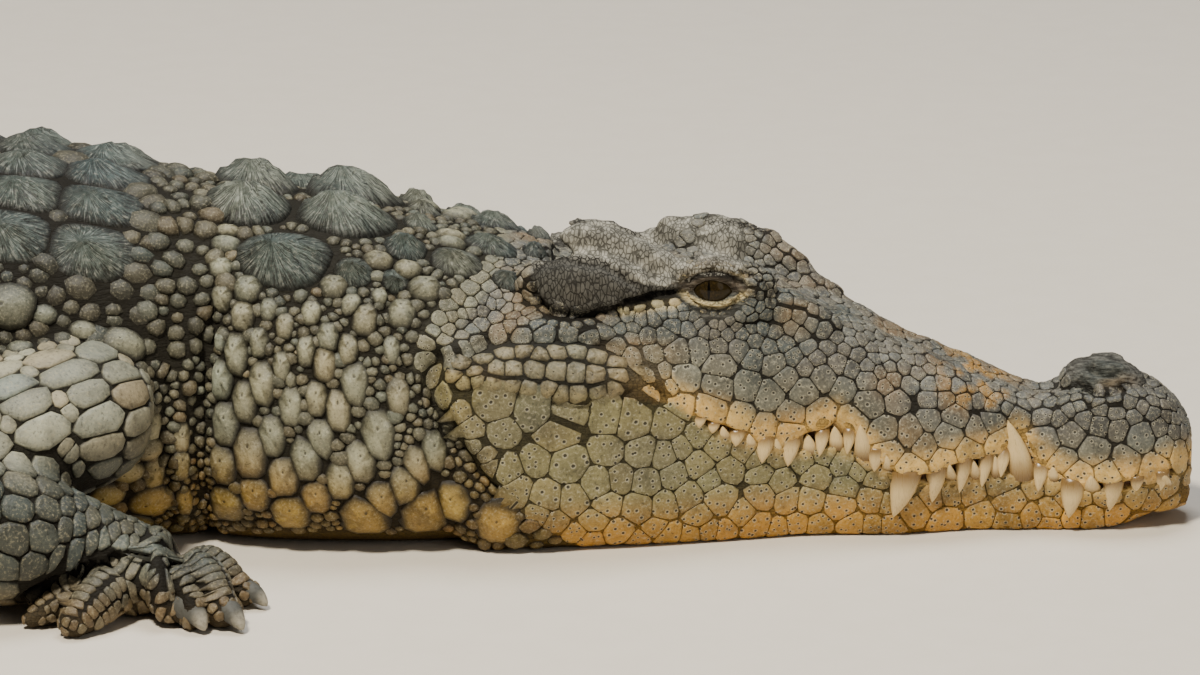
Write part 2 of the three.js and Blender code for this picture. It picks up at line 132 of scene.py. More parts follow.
def profile(*stations):
    """A smooth function through a few (place, value) stations, flat beyond the ends."""
    places, values = np.array(stations, float).T
    last = len(places) - 1
    before = np.maximum(np.arange(last + 1) - 1, 0)
    after = np.minimum(np.arange(last + 1) + 1, last)
    slopes = (values[after] - values[before]) / (places[after] - places[before])

    def value(at):
        at = np.clip(np.asarray(at, float), places[0], places[-1])
        i = np.clip(np.searchsorted(places, at, side="right") - 1, 0, last - 1)
        span = places[i + 1] - places[i]
        t = (at - places[i]) / span
        ease = t * t * (3 - 2 * t)
        bow = t * (1 - t) * span * ((1 - t) * slopes[i] - t * slopes[i + 1])
        return values[i] * (1 - ease) + values[i + 1] * ease + bow

    return value


def curve(points, count):
    """Evenly spaced places on a smooth curve through the points."""
    points = np.asarray(points, float)
    chord = run_along(points)
    fine_at = np.linspace(0, chord[-1], 16 * len(points))
    fine = columns(*[profile(*zip(chord, axis))(fine_at) for axis in points.T])
    run = run_along(fine)
    even = np.linspace(0, run[-1], count)
    return columns(*[np.interp(even, run, axis) for axis in fine.T])


# ---- the animal's form, as the frame has it

spine_sway = profile(
    (TAIL_TIP, 250), (-1900, 235), (-1500, 160), (-1100, 62), (-760, 10), (-560, 0), (800, 0),
)
half_width = profile(
    (TAIL_TIP, 4), (-2080, 14), (-1800, 27), (-1400, 48), (-1000, 80), (-740, 112), (-560, 148),
    (-430, 192), (-230, 226), (0, 238), (240, 216), (400, 180), (500, 146), (545, 140), (600, 152),
    (700, 148), (800, 112),
)
back_level = profile(
    (TAIL_TIP, 22), (-2080, 58), (-1800, 88), (-1400, 124), (-1000, 162), (-740, 200), (-560, 236),
    (-430, 262), (-230, 286), (0, 294), (240, 290), (400, 283), (490, 270), (575, 254), (650, 247),
    (720, 233), (800, 216),
)
BROADEST = 238  # the trunk's greatest half width
fullness = profile((-1400, 2.0), (-740, 2.15), (-400, 2.5), (500, 2.4), (800, 2.2))
WIDEST = 0.38  # the level of the greatest width, as a share of the back's level
BELLY_DROP = 12
NECK_END = 800
TRUNK_BACK = -640  # where the trunk's coat gives way to the tail's


def body_point(x, angle, inset=0.0):
    """Places on the body; the angle runs from its left side over the back to its right."""
    x, angle = np.broadcast_arrays(np.asarray(x, float), np.asarray(angle, float))
    top = back_level(x) - inset
    level = top * WIDEST
    drop = level + np.minimum(BELLY_DROP, top * 0.12)
    across, up = np.cos(angle), np.sin(angle)
    bend = 2 / np.where(up > 0, fullness(x), fullness(x) + 0.7)
    side = np.sign(across) * np.abs(across) ** bend
    rise = np.sign(up) * np.abs(up) ** bend
    y = spine_sway(x) + (half_width(x) - inset) * side
    z = level + rise * np.where(rise > 0, top - level, drop)
    return np.stack([x, y, np.maximum(z, FLOOR)], axis=-1)


# Head stations run back from the snout's tip.
lip_level = profile(
    (0, 44), (30, 42), (80, 41), (108, 51), (134, 57), (176, 58), (222, 51), (250, 72), (275, 92),
    (305, 89), (335, 87), (375, 100), (424, 124), (470, 138), (530, 150), (600, 158),
)
lip_width = profile(
    (0, 16), (10, 31), (28, 44), (62, 54), (90, 51), (117, 45), (137, 42), (154, 50), (190, 66),
    (222, 75), (250, 73), (278, 71), (305, 75), (335, 86), (370, 99), (430, 118), (490, 130),
    (530, 122), (548, 96),
)
crown_level = profile(
    (0, 68), (10, 90), (28, 106), (60, 116), (90, 112), (118, 101), (150, 110), (188, 126),
    (228, 142), (262, 160), (306, 178), (345, 191), (380, 201), (415, 203), (450, 199), (500, 199),
    (548, 200),
)
crown_width = profile(
    (0, 8), (10, 20), (28, 30), (62, 38), (100, 32), (120, 30), (190, 42), (260, 46), (320, 50),
    (365, 58), (430, 64), (500, 70), (548, 66),
)
cheek_width = profile(
    (0, 14), (10, 31), (28, 43), (62, 53), (90, 50), (117, 44), (137, 43), (154, 50), (222, 70),
    (290, 73), (340, 83), (400, 95), (450, 108), (500, 120), (548, 92),
)
jaw_width = profile(
    (6, 14), (16, 26), (36, 37), (62, 45), (90, 46), (117, 47), (136, 50), (160, 50), (190, 57),
    (222, 66), (250, 70), (278, 73), (310, 78), (370, 97), (430, 116), (490, 130), (550, 138),
    (584, 126), (600, 90),
)
jaw_foot = profile((6, 32), (22, 18), (44, 6), (70, -3), (100, -9), (520, -9), (566, 6), (600, 50))
HEAD_LENGTH = 548
JAW_FRONT, JAW_BACK = 6, 600


def half_ring(outline, d, steps):
    """A ring of the head from half of its outline, given as (out, up) places."""
    half = curve(outline, steps + 1)
    both = np.concatenate([half, half[-2:0:-1] * (-1, 1)])
    return columns(SNOUT_TIP - d, both[:, 0], np.maximum(both[:, 1], FLOOR))


def upper_head_ring(d, inset, steps=40):
    lip, crown = lip_level(d), crown_level(d) - inset
    lip_out, cheek, top = lip_width(d) - inset, cheek_width(d) - inset, crown_width(d) - inset
    outline = [
        (0, lip - 30), (lip_out * 0.72, lip - 30), (lip_out - 2, lip - 8), (lip_out + 1, lip + 10),
        (cheek, mix(lip, crown, 0.45)), (top + 4, mix(lip, crown, 0.9)), (top * 0.45, crown + 1),
        (0, crown - 1),
    ]
    return half_ring(outline, d, steps)


def lower_jaw_ring(d, inset, steps=32):
    foot = jaw_foot(d)
    top = lip_level(d) + 24 * fade(560, 600, d) + 6
    wide = jaw_width(d) - inset
    outline = [
        (0, foot), (wide * 0.76, foot), (wide * 0.98, mix(foot, top, 0.22)), (wide, mix(foot, top, 0.6)),
        (wide * 0.97, top), (wide * 0.5, top + 4), (0, top + 4),
    ]
    return half_ring(outline, d, steps)


# Raised forms on each side of the skull: place (back, out, up), half sizes, pitch and yaw in degrees.
HEAD_FORMS = (
    ((366, 50, 197), (44, 22, 22), 10, 0),  # brow
    ((372, 55, 178), (46, 20, 18), 0, 0),  # lower lid
    ((441, 53, 219), (52, 15, 16), 20, -3),  # ridge over the ear
    ((470, 72, 200), (54, 24, 27), 3, 0),  # ear flap
    ((420, 60, 197), (38, 15, 14), 4, 0),  # the ear flap's front end
    ((312, 42, 170), (46, 18, 18), 22, 0),  # ridge ahead of the eye
    ((560, 96, 150), (36, 32, 24), 0, 0),  # the jaw's joint
)
# The front of the far brow and the nostrils' disc have one form each, without yaw.
FAR_BROW_FRONT = ((334, 48, 189), (38, 19, 17), 20)
NOSTRIL_FORM = ((70, 0, 110), (35, 29, 19), 3)

EYE_BACK, EYE_SIDE, EYE_LEVEL, EYE_RADIUS = 371, 50, 194, 20

# Legs on the animal's right, as (x, y, z, half width, half height) stations.
FORE_LEG = {
    "upper": [
        (470, -116, 112, 34, 40), (448, -156, 118, 70, 58), (392, -214, 108, 64, 58),
        (322, -258, 84, 52, 50), (290, -274, 72, 26, 28),
    ],
    "lower": [
        (284, -268, 70, 34, 36), (330, -282, 70, 58, 60), (392, -284, 64, 58, 58),
        (446, -272, 48, 50, 46), (486, -262, 35, 46, 37),
    ],
    "palm": [
        (466, -262, 33, 36, 31), (496, -262, 30, 54, 37), (524, -262, 24, 54, 31), (548, -258, 14, 32, 18),
    ],
    "digits": [
        ((528, -232, 22), (584, -262, 9), 14, (604, -272)),
        ((530, -258, 26), (574, -310, 11), 16, (592, -329)),
        ((516, -280, 28), (548, -314, 12), 17, (564, -332)),
        ((500, -288, 24), (468, -338, 6), 13, None),
        ((484, -292, 18), (434, -322, 6), 11, None),
    ],
}
HIND_LEG = {
    "upper": [
        (-500, -112, 120, 40, 46), (-478, -166, 128, 78, 66), (-410, -236, 110, 74, 64),
        (-336, -284, 84, 56, 52), (-306, -298, 70, 28, 28),
    ],
    "lower": [
        (-304, -294, 66, 36, 36), (-352, -310, 62, 56, 54), (-428, -318, 52, 50, 48),
        (-496, -318, 38, 38, 36), (-524, -322, 30, 26, 26),
    ],
    "palm": [
        (-522, -322, 26, 26, 24), (-490, -338, 24, 42, 24), (-420, -364, 18, 56, 20),
        (-366, -384, 12, 60, 13), (-346, -390, 9, 44, 9),
    ],
    "digits": [
        ((-384, -348, 18), (-304, -346, 8), 13, (-282, -344)),
        ((-372, -372, 20), (-286, -388, 9), 14, (-262, -392)),
        ((-374, -394, 19), (-300, -430, 8), 13, (-280, -440)),
        ((-390, -412, 16), (-330, -466, 5), 11, None),
    ],
}
# Each leg as (end, flank, plan, side, shift along the body, swing in degrees).
LEGS = (
    ("fore", "right", FORE_LEG, -1, 0, 0),
    ("fore", "left", FORE_LEG, 1, -14, -5),
    ("hind", "right", HIND_LEG, -1, 0, 0),
    ("hind", "left", HIND_LEG, 1, 10, 6),
)


def placed(plan, side, shift, swing):
    """A leg's plan for one side: turned a little about its root, shifted and mirrored."""
    root_x, root_y = plan["upper"][0][:2]
    c, s = math.cos(math.radians(swing)), math.sin(math.radians(swing))

    def place(station):
        dx, dy = station[0] - root_x, station[1] - root_y
        return (root_x + shift + dx * c - dy * s, -side * (root_y + dx * s + dy * c), *station[2:])

    made = {part: [place(s) for s in plan[part]] for part in ("upper", "lower", "palm")}
    made["digits"] = [
        (place(knuckle), place(tip), thick, point and place(point))
        for knuckle, tip, thick, point in plan["digits"]
    ]
    return made


def limb_point(stations, t, angle, inset=0.0):
    """Places on an elliptical tube through the stations; t runs from 0 to 1 along it."""
    t, angle = np.broadcast_arrays(np.asarray(t, float), np.asarray(angle, float))
    at = np.linspace(0, 1, len(stations))
    lines = [profile(*zip(at, column)) for column in np.array(stations, float).T]
    middle = np.stack([line(t) for line in lines[:3]], axis=-1)
    ahead = np.stack([line(t + 0.02) - line(t - 0.02) for line in lines[:3]], axis=-1)
    along = unit(ahead)
    side = unit(np.cross((0, 0, 1), along))
    up = unit(np.cross(along, side))
    wide = np.maximum(lines[3](t) - inset, 1)[..., None]
    high = np.maximum(lines[4](t) - inset, 1)[..., None]
    place = middle + np.cos(angle)[..., None] * wide * side + np.sin(angle)[..., None] * high * up
    place[..., 2] = np.maximum(place[..., 2], FLOOR)
    return place


def toe_stations(knuckle, tip, thick):
    """A toe bends down from its knuckle to the floor."""
    thick = thick * (1.40 if thick > 12 else 1.2)
    middle = [(k + t) / 2 for k, t in zip(knuckle, tip)]
    end = 0.88 if thick > 16 else 0.62
    return [
        (*knuckle, thick, thick),
        (middle[0], middle[1], middle[2] + thick * 0.35, thick * 1.02, thick * 1.02),
        (*tip, thick * end, thick * end),
    ]


# ---- meshes


def finished_mesh(bm, name):
    """What was edited, as a mesh of its own; the edit is freed."""
    mesh = bpy.data.meshes.new(name)
    bm.to_mesh(mesh)
    bm.free()
    return mesh


def new_object(name, mesh):
    obj = bpy.data.objects.new(name, mesh)
    bpy.context.scene.collection.objects.link(obj)
    return obj


def loft(bm, rings):
    """A closed tube over rings of points, drawn in to a pole at each end."""
    rings = np.asarray(rings, float)
    ends = rings[[0, -1]].mean(axis=1, keepdims=True).repeat(rings.shape[1], axis=1)
    rings = np.concatenate([ends[:1], rings, ends[1:]])
    last, around = len(rings) - 1, rings.shape[1]
    sheet = bmesh.new()
    bmesh.ops.create_grid(sheet, x_segments=last, y_segments=around, size=1)
    for vert in sheet.verts:
        ring = round((vert.co.x + 1) / 2 * last)
        spoke = round((vert.co.y + 1) / 2 * around) % around
        vert.co = Vector(rings[ring, spoke] * MM)
    bmesh.ops.remove_doubles(sheet, verts=sheet.verts, dist=1e-7)
    part = finished_mesh(sheet, "part")
    bm.from_mesh(part)
    bpy.data.meshes.remove(part)


def lump(bm, centre, size, pitch=0, yaw=0):
    """A smooth ellipsoid, turned about Y and then Z."""
    slope = np.linspace(0.06, np.pi - 0.06, 26)[:, None]
    turn = full_turn(36)[None, :]
    ball = columns(np.cos(slope), np.sin(slope) * np.cos(turn), np.sin(slope) * np.sin(turn))
    turned = Matrix.Rotation(math.radians(yaw), 3, "Z") @ Matrix.Rotation(math.radians(pitch), 3, "Y")
    rings = (ball * size) @ np.array(turned).T + centre
    rings[..., 2] = np.maximum(rings[..., 2], FLOOR)
    loft(bm, rings)


def evaluated_mesh(obj):
    """The object's mesh with its modifiers applied; the object and its old mesh are removed."""
    depsgraph = bpy.context.evaluated_depsgraph_get()
    mesh = bpy.data.meshes.new_from_object(obj.evaluated_get(depsgraph))
    old = obj.data
    bpy.data.objects.remove(obj)
    bpy.data.meshes.remove(old)
    return mesh


def get_places(mesh):
    """Vertex places in millimetres."""
    flat = np.empty(len(mesh.vertices) * 3, np.float32)
    mesh.vertices.foreach_get("co", flat)
    return flat.reshape(-1, 3).astype(float) / MM


def set_places(mesh, places):
    mesh.vertices.foreach_set("co", (places * MM).astype(np.float32).ravel())
    mesh.update()


def get_normals(mesh):
    flat = np.empty(len(mesh.vertices) * 3, np.float32)
    mesh.vertex_normals.foreach_get("vector", flat)
    return flat.reshape(-1, 3).astype(float)


def shade_smooth(mesh):
    mesh.polygons.foreach_set("use_smooth", np.ones(len(mesh.polygons), bool))


# ---- skin

SKIN_FACES = 192000

# How finely each stretch of the body is meshed: a scale on its size while it is remeshed.
fineness = profile(
    (-2300, 0.6), (-700, 0.4), (-560, 0.62), (-250, 0.62), (-150, 0.36), (250, 0.38), (430, 0.7),
    (620, 0.75), (720, 1.1), (780, 1.3), (1300, 1.4),
)


def stretched(places, forward=True):
    """Places with the finely meshed stretches enlarged, or the other way round."""
    line = np.arange(-2400.0, 1500.0, 2.0)
    scale = fineness(line)
    run = np.concatenate([[0], np.cumsum((scale[1:] + scale[:-1]) / 2 * np.diff(line))])
    if forward:
        x = np.interp(places[:, 0], line, run)
        factor = fineness(places[:, 0])
    else:
        x = np.interp(places[:, 0], run, line)
        factor = 1 / fineness(x)
    return columns(x, places[:, 1] * factor, places[:, 2] * factor)


def flesh_forms(body_inset, head_inset, limb_inset):
    """Every form of flesh as closed shapes that run into each other."""
    bm = bmesh.new()
    angle = full_turn(120)
    stations = np.linspace(TAIL_TIP + 3, NECK_END, 420)
    depth = np.minimum(body_inset, half_width(stations) * 0.3)[:, None]
    loft(bm, body_point(stations[:, None], angle[None, :], depth))
    loft(bm, [upper_head_ring(d, head_inset) for d in np.linspace(1.2, HEAD_LENGTH, 130)])
    loft(bm, [lower_jaw_ring(d, head_inset) for d in np.linspace(JAW_FRONT + 1, JAW_BACK, 120)])
    for (d, out, up), size, pitch, yaw in HEAD_FORMS:
        for side in (-1, 1):
            drop = FAR_RIDGE_DROP if side > 0 and d > 430 and up > 180 else 0
            far_brow = side > 0 and up > 190 and d < 400
            for back in (0, FAR_BROW_BACK) if far_brow else (0,):
                place = (SNOUT_TIP - d - back, side * out, up - drop + FAR_BROW_RISE * far_brow)
                lump(bm, place, np.array(size) - head_inset, pitch, side * yaw)
    for (d, out, up), size, pitch in (FAR_BROW_FRONT, NOSTRIL_FORM):
        lump(bm, (SNOUT_TIP - d, out, up), np.array(size) - head_inset, pitch)
    around = full_turn(40)
    for _, _, plan, side, shift, swing in LEGS:
        leg = placed(plan, side, shift, swing)
        for part in ("upper", "lower", "palm"):
            along = np.linspace(0, 1, 40)
            loft(bm, limb_point(leg[part], along[:, None], around[None, :], limb_inset))
        for knuckle, tip, thick, _ in leg["digits"]:
            along = np.linspace(0, 1, 16)
            loft(bm, limb_point(toe_stations(knuckle, tip, thick), along[:, None], around[None, ::2], 1.0))
            lump(bm, (tip[0], tip[1], tip[2] + 2), [toe_stations(knuckle, tip, thick)[-1][3]] * 3)
    bmesh.ops.recalc_face_normals(bm, faces=bm.faces)
    return bm


def joined_skin(voxel, insets):
    """The forms joined into one even sheet of small quads, finer towards the head and feet."""
    mesh = finished_mesh(flesh_forms(*insets), "skin_forms")
    set_places(mesh, stretched(get_places(mesh)))
    obj = new_object("skin_forms", mesh)
    remesh = obj.modifiers.new("Join", "REMESH")
    remesh.mode = "VOXEL"
    remesh.voxel_size = voxel
    joined = evaluated_mesh(obj)
    set_places(joined, stretched(get_places(joined), forward=False))
    obj = new_object("skin_joined", joined)
    smooth = obj.modifiers.new("Soften", "SMOOTH")
    smooth.factor = 0.5
    smooth.iterations = 5
    return evaluated_mesh(obj)


# Lines on each side of the head as (back, up), unless said otherwise.
UPPER_LIP = (
    (0, 51), (18, 50), (41, 45), (64, 43), (91, 42), (108, 50), (118, 55), (128, 70), (138, 75),
    (147, 66), (161, 63), (180, 61), (203, 54), (223, 53), (241, 63), (257, 82), (274, 95), (290, 90),
    (303, 84), (334, 84), (348, 93), (367, 100), (387, 111), (400, 117),
)
LOWER_LIP = (
    (0, 46), (21, 43), (40, 38), (63, 33), (87, 36), (110, 42), (133, 43), (149, 47), (170, 44),
    (187, 42), (226, 47), (249, 62), (272, 74), (303, 71), (334, 79), (365, 91), (387, 105), (400, 114),
)
CHEEK_FOLD = (
    (582, 150), (560, 159), (535, 166), (510, 169), (484, 169), (459, 165), (440, 157), (424, 142),
    (409, 126), (390, 114),
)
UNDER_FOLD = ((577, 133), (554, 135), (531, 133), (508, 127), (485, 121), (468, 118), (439, 127), (420, 131))
JAW_REAR = (
    (572, 168), (581, 152), (582, 132), (572, 108), (557, 81), (538, 57), (515, 34), (488, 14), (470, 0),
)
RIDGE_TOP = ((490, 228), (478, 237), (462, 240), (445, 236), (428, 227), (412, 218), (398, 210))
UNDER_RIDGE = ((506, 216), (492, 222), (476, 222), (452, 219), (436, 209), (424, 203), (408, 200), (396, 201))
FLAP_EDGE = ((508, 208), (506, 195), (492, 184), (470, 182), (452, 185), (438, 189))
EAR_SLIT = ((440, 191), (420, 193), (400, 194))
NOSTRIL_SIDE = ((90, 113), (78, 109), (64, 109), (52, 113))
BETWEEN_FOLDS = tuple((back, (up + 152) / 2 + 1) for back, up in UNDER_FOLD[1:-1])
# Strokes on both sides of the head: line, its shift back and up, height, width and, if unusual, taper.
HEAD_STROKES = (
    (CHEEK_FOLD, 0, 0, -5.0, 2.6), (CHEEK_FOLD, 0, 7, 2.5, 5.0), (UNDER_FOLD, 0, 0, -4.0, 2.4),
    (BETWEEN_FOLDS, 0, 0, 3.0, 8.0), (JAW_REAR[:-2], 0, 0, -11.0, 6.5, 0.10),
    (JAW_REAR[:-1], -12, 0, 3.0, 9.0), (RIDGE_TOP, 0, 0, 3.4, 7.0), (UNDER_RIDGE[:-2], 0, 0, -5.5, 3.0),
    (FLAP_EDGE, 0, 0, -6.0, 3.0), (FLAP_EDGE, 1, 6, 2.6, 4.0),
    (EAR_SLIT, 0, 0, -9.0, 2.2), (EAR_SLIT, 0, -6, 1.6, 3.0),
)
# Folds of the upper lid, as (back, up) from the eye's centre.
LID_FOLDS = (
    ((-43, -9), (-43, 0), (-36, 9), (-22, 15), (-6, 19), (10, 18), (22, 12), (28, 6)),
    ((-34, -5), (-30, 4), (-19, 10.5), (-5, 14.2), (9, 13.6), (20, 8)),
    ((-36, 17), (-20, 23), (0, 26), (16, 24)),
)
FAR_RIDGE_DROP = 20  # the head lies tilted a little, so the far side of the crown sits lower
FAR_BROW_BACK = 13  # and the far brow reaches further back
FAR_BROW_RISE = 5  # and stands higher

UPPER_TEETH = (  # behind the snout's tip, level of the root and of the point, width
    (379, 106, 96, 9), (369, 100, 91, 9), (351, 92, 79, 11), (330, 85, 64, 13), (310, 84, 60, 13.5),
    (286, 88, 67, 10), (265, 88, 68, 9), (244, 73, 54, 12), (221, 55, 17, 20), (198, 57, 27, 14),
    (177, 62, 33, 11), (160, 64, 37, 10.5), (146, 67, 45, 9.5), (117, 55, 33, 11), (92, 43, 12, 17),
    (61, 45, 18, 14), (43, 46, 32, 9), (24, 48, 30, 10),
)
LOWER_TEETH = (
    (361, 84, 96, 9), (341, 76, 88, 9), (321, 70, 83, 9), (296, 68, 84, 11.5), (275, 71, 90, 11.5),
    (254, 62, 92, 14), (235, 52, 68, 9), (187, 42, 60, 9), (168, 42, 60, 9), (152, 44, 63, 9),
    (132, 42, 88, 18), (107, 40, 53, 9), (77, 30, 48, 13), (21, 33, 49, 10),
)


def level_on(line, d):
    """The level of a line on the head, that far behind the snout's tip."""
    return np.interp(d, *np.array(sorted(line)).T)


MOUTH_CORNER = 404  # how far behind the snout's tip the mouth's line ends


def corner_level(d):
    """The level that parts the head from the jaw behind the mouth's corner."""
    return np.interp(d, [400, 574], [117, 150])


def head_place(places):
    """Distance behind the snout's tip, level, and distance from the midline."""
    return SNOUT_TIP - places[:, 0], places[:, 2], np.abs(places[:, 1])


def parting_level(d):
    """The upper lip's level, and behind the mouth the level that parts the head from the jaw."""
    return np.where(d < 400, level_on(UPPER_LIP, d), corner_level(d))


def eye_centre(side):
    return np.array([SNOUT_TIP - EYE_BACK, side * EYE_SIDE, EYE_LEVEL])


def line_through(points, spacing=3.0):
    """Places on a smooth curve through the points, about that far apart."""
    points = np.asarray(points, float)
    return curve(points, max(int(length_of(points) / spacing), 3))


def reach(spots, line):
    """How far each spot is from a line, and how far along the line the nearest place is, from 0 to 1."""
    nearest = np.full(len(spots), 1e9)
    along = np.zeros(len(spots))
    for i, (start, end) in enumerate(zip(line[:-1], line[1:])):
        edge = end - start
        t = np.clip(((spots - start) @ edge) / (edge @ edge), 0, 1)
        gap = lengths(spots - start - t[:, None] * edge)
        closer = gap < nearest
        nearest = np.where(closer, gap, nearest)
        along = np.where(closer, (i + t) / (len(line) - 1), along)
    return nearest, along


def shifted(line, back, up):
    return [(b + back, u + up) for b, u in line]


def stroke(spots, points, height, width, where, taper=0.12):
    """A raised or sunk line along the points, thinning out at both ends."""
    line = line_through(points)
    low, high = line.min(axis=0) - 4 * width, line.max(axis=0) + 4 * width
    near = ((spots > low) & (spots < high)).all(axis=1) & where
    lift = np.zeros(len(spots))
    gap, along = reach(spots[near], line)
    ends = fade(0, taper, along + 0.02) * fade(0, taper, 1.02 - along)
    lift[near] = height * bell(gap, width) * ends
    return lift


def tooth_waves(d, rows, height):
    """Low swellings of a lip's edge, one at each tooth."""
    wave = np.zeros(len(d))
    for back, _, _, width in rows:
        wave = np.maximum(wave, height * bell(d - back, width * 0.75))
    return wave


def mouth_band(d, level):
    """How far inside the open strip between the lips a place is; negative outside it."""
    upper = level_on(UPPER_LIP, d) - tooth_waves(d, UPPER_TEETH, 2.4)
    lower = level_on(LOWER_LIP, d) + tooth_waves(d, LOWER_TEETH, 1.2)
    closing = 6 * fade(372, 402, d)
    return np.minimum(upper - level, level - lower) - closing, upper, lower


def noise_at(places, size):
    """Fractal noise at each place, about -1 to 1, with lumps of the given size."""
    return np.array([noise.fractal(Vector(p / size), 1.0, 2.0, 3) for p in places])


def head_relief(places, normals):
    """Lifts of the head's skin along its normals: lips, folds, ridges, creases and wrinkles."""
    d, z, out = head_place(places)
    spots = columns(d, z)
    facing = out > 0.55 * np.interp(d, [0, 30, 600], [4, 40, 110])
    lift = np.zeros(len(places))

    band, upper, lower = mouth_band(d, places[:, 2])
    mouth = (d < MOUTH_CORNER) & ((out > 0.5 * lip_width(d)) | (d < 30)) & (np.abs(normals[:, 2]) < 0.95)
    lift -= np.where(mouth, 5.5 * fade(-0.8, 3.2, band), 0)
    rim = bell(places[:, 2] - upper - 4, 4.5)
    lift += np.where(mouth, (0.8 + 0.55 * tooth_waves(d, UPPER_TEETH, 2.6)) * rim, 0)
    rim = bell(places[:, 2] - lower + 4, 4.0)
    lift += np.where(mouth, (0.8 + 0.5 * tooth_waves(d, LOWER_TEETH, 2.0)) * rim, 0)

    for line, back, up, height, width, *taper in HEAD_STROKES:
        lift += stroke(spots, shifted(line, back, up), height, width, facing, *taper)
    flap = facing & on_ear_flap(d, places[:, 2], out)
    lift += np.where(flap, 0.7 * np.sin(d * 1.3 + 0.10 * places[:, 2]), 0)
    for fold in LID_FOLDS:
        line = shifted(fold, EYE_BACK, EYE_LEVEL)
        lift += stroke(spots, line, -2.6, 1.7, facing & (out > 36))
        lift += stroke(spots, shifted(line, 0, 3.4), 1.5, 2.4, facing & (out > 36))
    lift += stroke(spots, NOSTRIL_SIDE, -4.5, 2.4, (out > 13) & (d < 110))
    lift += stroke(spots, shifted(NOSTRIL_SIDE, 0, -5), 2.0, 3.5, (out > 13) & (d < 110))
    lift += nostril_relief(places, d)
    lift += skull_bumps(places, d, out)
    return lift


def nostril_relief(places, d):
    """The raised disc on the snout's end, its rim and its two crescent slits."""
    plan = columns(d, places[:, 1])
    on_top = places[:, 2] > 96
    turn = np.linspace(0, 2 * np.pi, 40)
    rim = columns(70 + 37 * np.cos(turn), 31 * np.sin(turn))
    lift = stroke(plan, rim, -2.6, 3.0, on_top, 0.001)
    for side in (-1, 1):
        slit = [(56, side * 17), (64, side * 21), (75, side * 20), (82, side * 13)]
        lift += stroke(plan, slit, -6.5, 2.6, on_top)
        lift += stroke(plan, [(b - 3, y * 0.62) for b, y in slit], 2.6, 4.0, on_top)
    lift += stroke(plan, [(40, 0), (70, 0), (104, 0)], -1.8, 3.0, on_top)
    return lift


# Knobs on the snout and ahead of the eyes: (back, out, up), height and width.
SKULL_KNOBS = (
    ((318, 60, 187), 4.0, 9), ((327, 54, 205), 4.5, 9), ((311, 42, 200), 5.0, 10), ((300, 52, 186), 3.0, 8),
    ((288, 30, 178), 3.0, 9), ((340, 66, 196), 3.0, 7), ((274, 44, 168), 2.5, 9), ((250, 22, 158), 2.0, 9),
    ((232, 50, 138), 2.2, 11), ((205, 24, 136), 2.0, 10), ((178, 38, 116), 1.8, 10), ((345, 30, 194), 2.0, 8),
)


def skull_bumps(places, d, out):
    """The skull's knobs and its faint unevenness."""
    lift = np.zeros(len(places))
    for (back, side, up), height, width in SKULL_KNOBS:
        gap = lengths(columns(d - back, out - side, places[:, 2] - up))
        lift += height * bell(gap, width)
    lip = lip_level(d)
    rough = fade(0.35, 0.9, (places[:, 2] - lip) / np.maximum(crown_level(d) - lip, 1))
    head = (d < 560) & (places[:, 2] > lip)
    lift[head] += noise_at(places[head], 15.0) * (0.5 + 1.1 * rough[head])
    return lift


# The opening between the lids, as (along the head, up) from the eye's centre.
ALMOND = (
    (-20.5, 0.0), (-14, 6.0), (-5, 9.4), (4, 9.8), (12, 7.0), (19.5, 0.8), (12, -4.0), (3, -5.8),
    (-7, -5.6), (-15, -3.0),
)


def almond_gap(spots):
    """Signed distance from the lids' opening; negative inside it."""
    loop = curve(list(ALMOND) + [ALMOND[0]], 80)
    gap, _ = reach(spots, loop)
    inside = np.zeros(len(spots), bool)
    for (ax, ay), (bx, by) in zip(loop[:-1], loop[1:]):
        crosses = (ay > spots[:, 1]) != (by > spots[:, 1])
        with np.errstate(divide="ignore", invalid="ignore"):
            edge = (bx - ax) * (spots[:, 1] - ay) / (by - ay) + ax
        inside ^= crosses & (spots[:, 0] < edge)
    return np.where(inside, -gap, gap)


def set_lids(places):
    """Draws the skin round each eyeball in to its lids."""
    for side in (-1, 1):
        centre = eye_centre(side)
        arm = places - centre
        reach_now = lengths(arm)
        near = (reach_now < 42) & (arm[:, 1] * side > -4)
        spots = columns(-arm[near, 0], arm[near, 2])
        gap = almond_gap(spots)
        above = fade(-2, 4, spots[:, 1])
        shell = EYE_RADIUS + 2.8 + 1.9 * bell(gap - 2.6, 1.9)
        shell -= 2.8 * above * bell(gap - 5.6, 1.2)
        shell += 4.8 * above * bell(gap - 9.4, 2.4)
        shell -= 1.6 * above * bell(gap - 13.2, 1.2)
        shell -= 2.4 * (1 - above) * bell(gap - 7.2, 1.5)
        shell += 1.2 * (1 - above) * bell(gap - 10.5, 2.2)
        wanted = mix(shell, reach_now[near], fade(7, 17, gap))
        wanted = mix(EYE_RADIUS - 3.0, wanted, fade(-1.0, 0.9, gap))
        places[near] = centre + arm[near] * (wanted / reach_now[near])[:, None]
    return places


# Creases on both sides of the body as (x, level) lines, with their height and width.
BODY_CREASES = (
    (((550, 200), (543, 140), (538, 80), (540, 20), (546, -10)), -11, 8),
    (((520, 190), (514, 120), (512, 60), (516, 5)), -4, 7),
    (((600, 20), (560, 30), (540, 60)), -3, 7),
    (((690, 215), (684, 170), (700, 130)), -4, 8),
    (((250, 60), (120, 44), (-40, 40), (-220, 52)), -4, 9),
)


def body_relief(places):
    """Creases and folds of the neck, shoulders and belly."""
    lift = np.zeros(len(places))
    spots = places[:, [0, 2]]
    outside = np.abs(places[:, 1] - spine_sway(places[:, 0])) > 0.5 * half_width(places[:, 0])
    for line, height, width in BODY_CREASES:
        lift += stroke(spots, line, height, width, outside)
    return lift


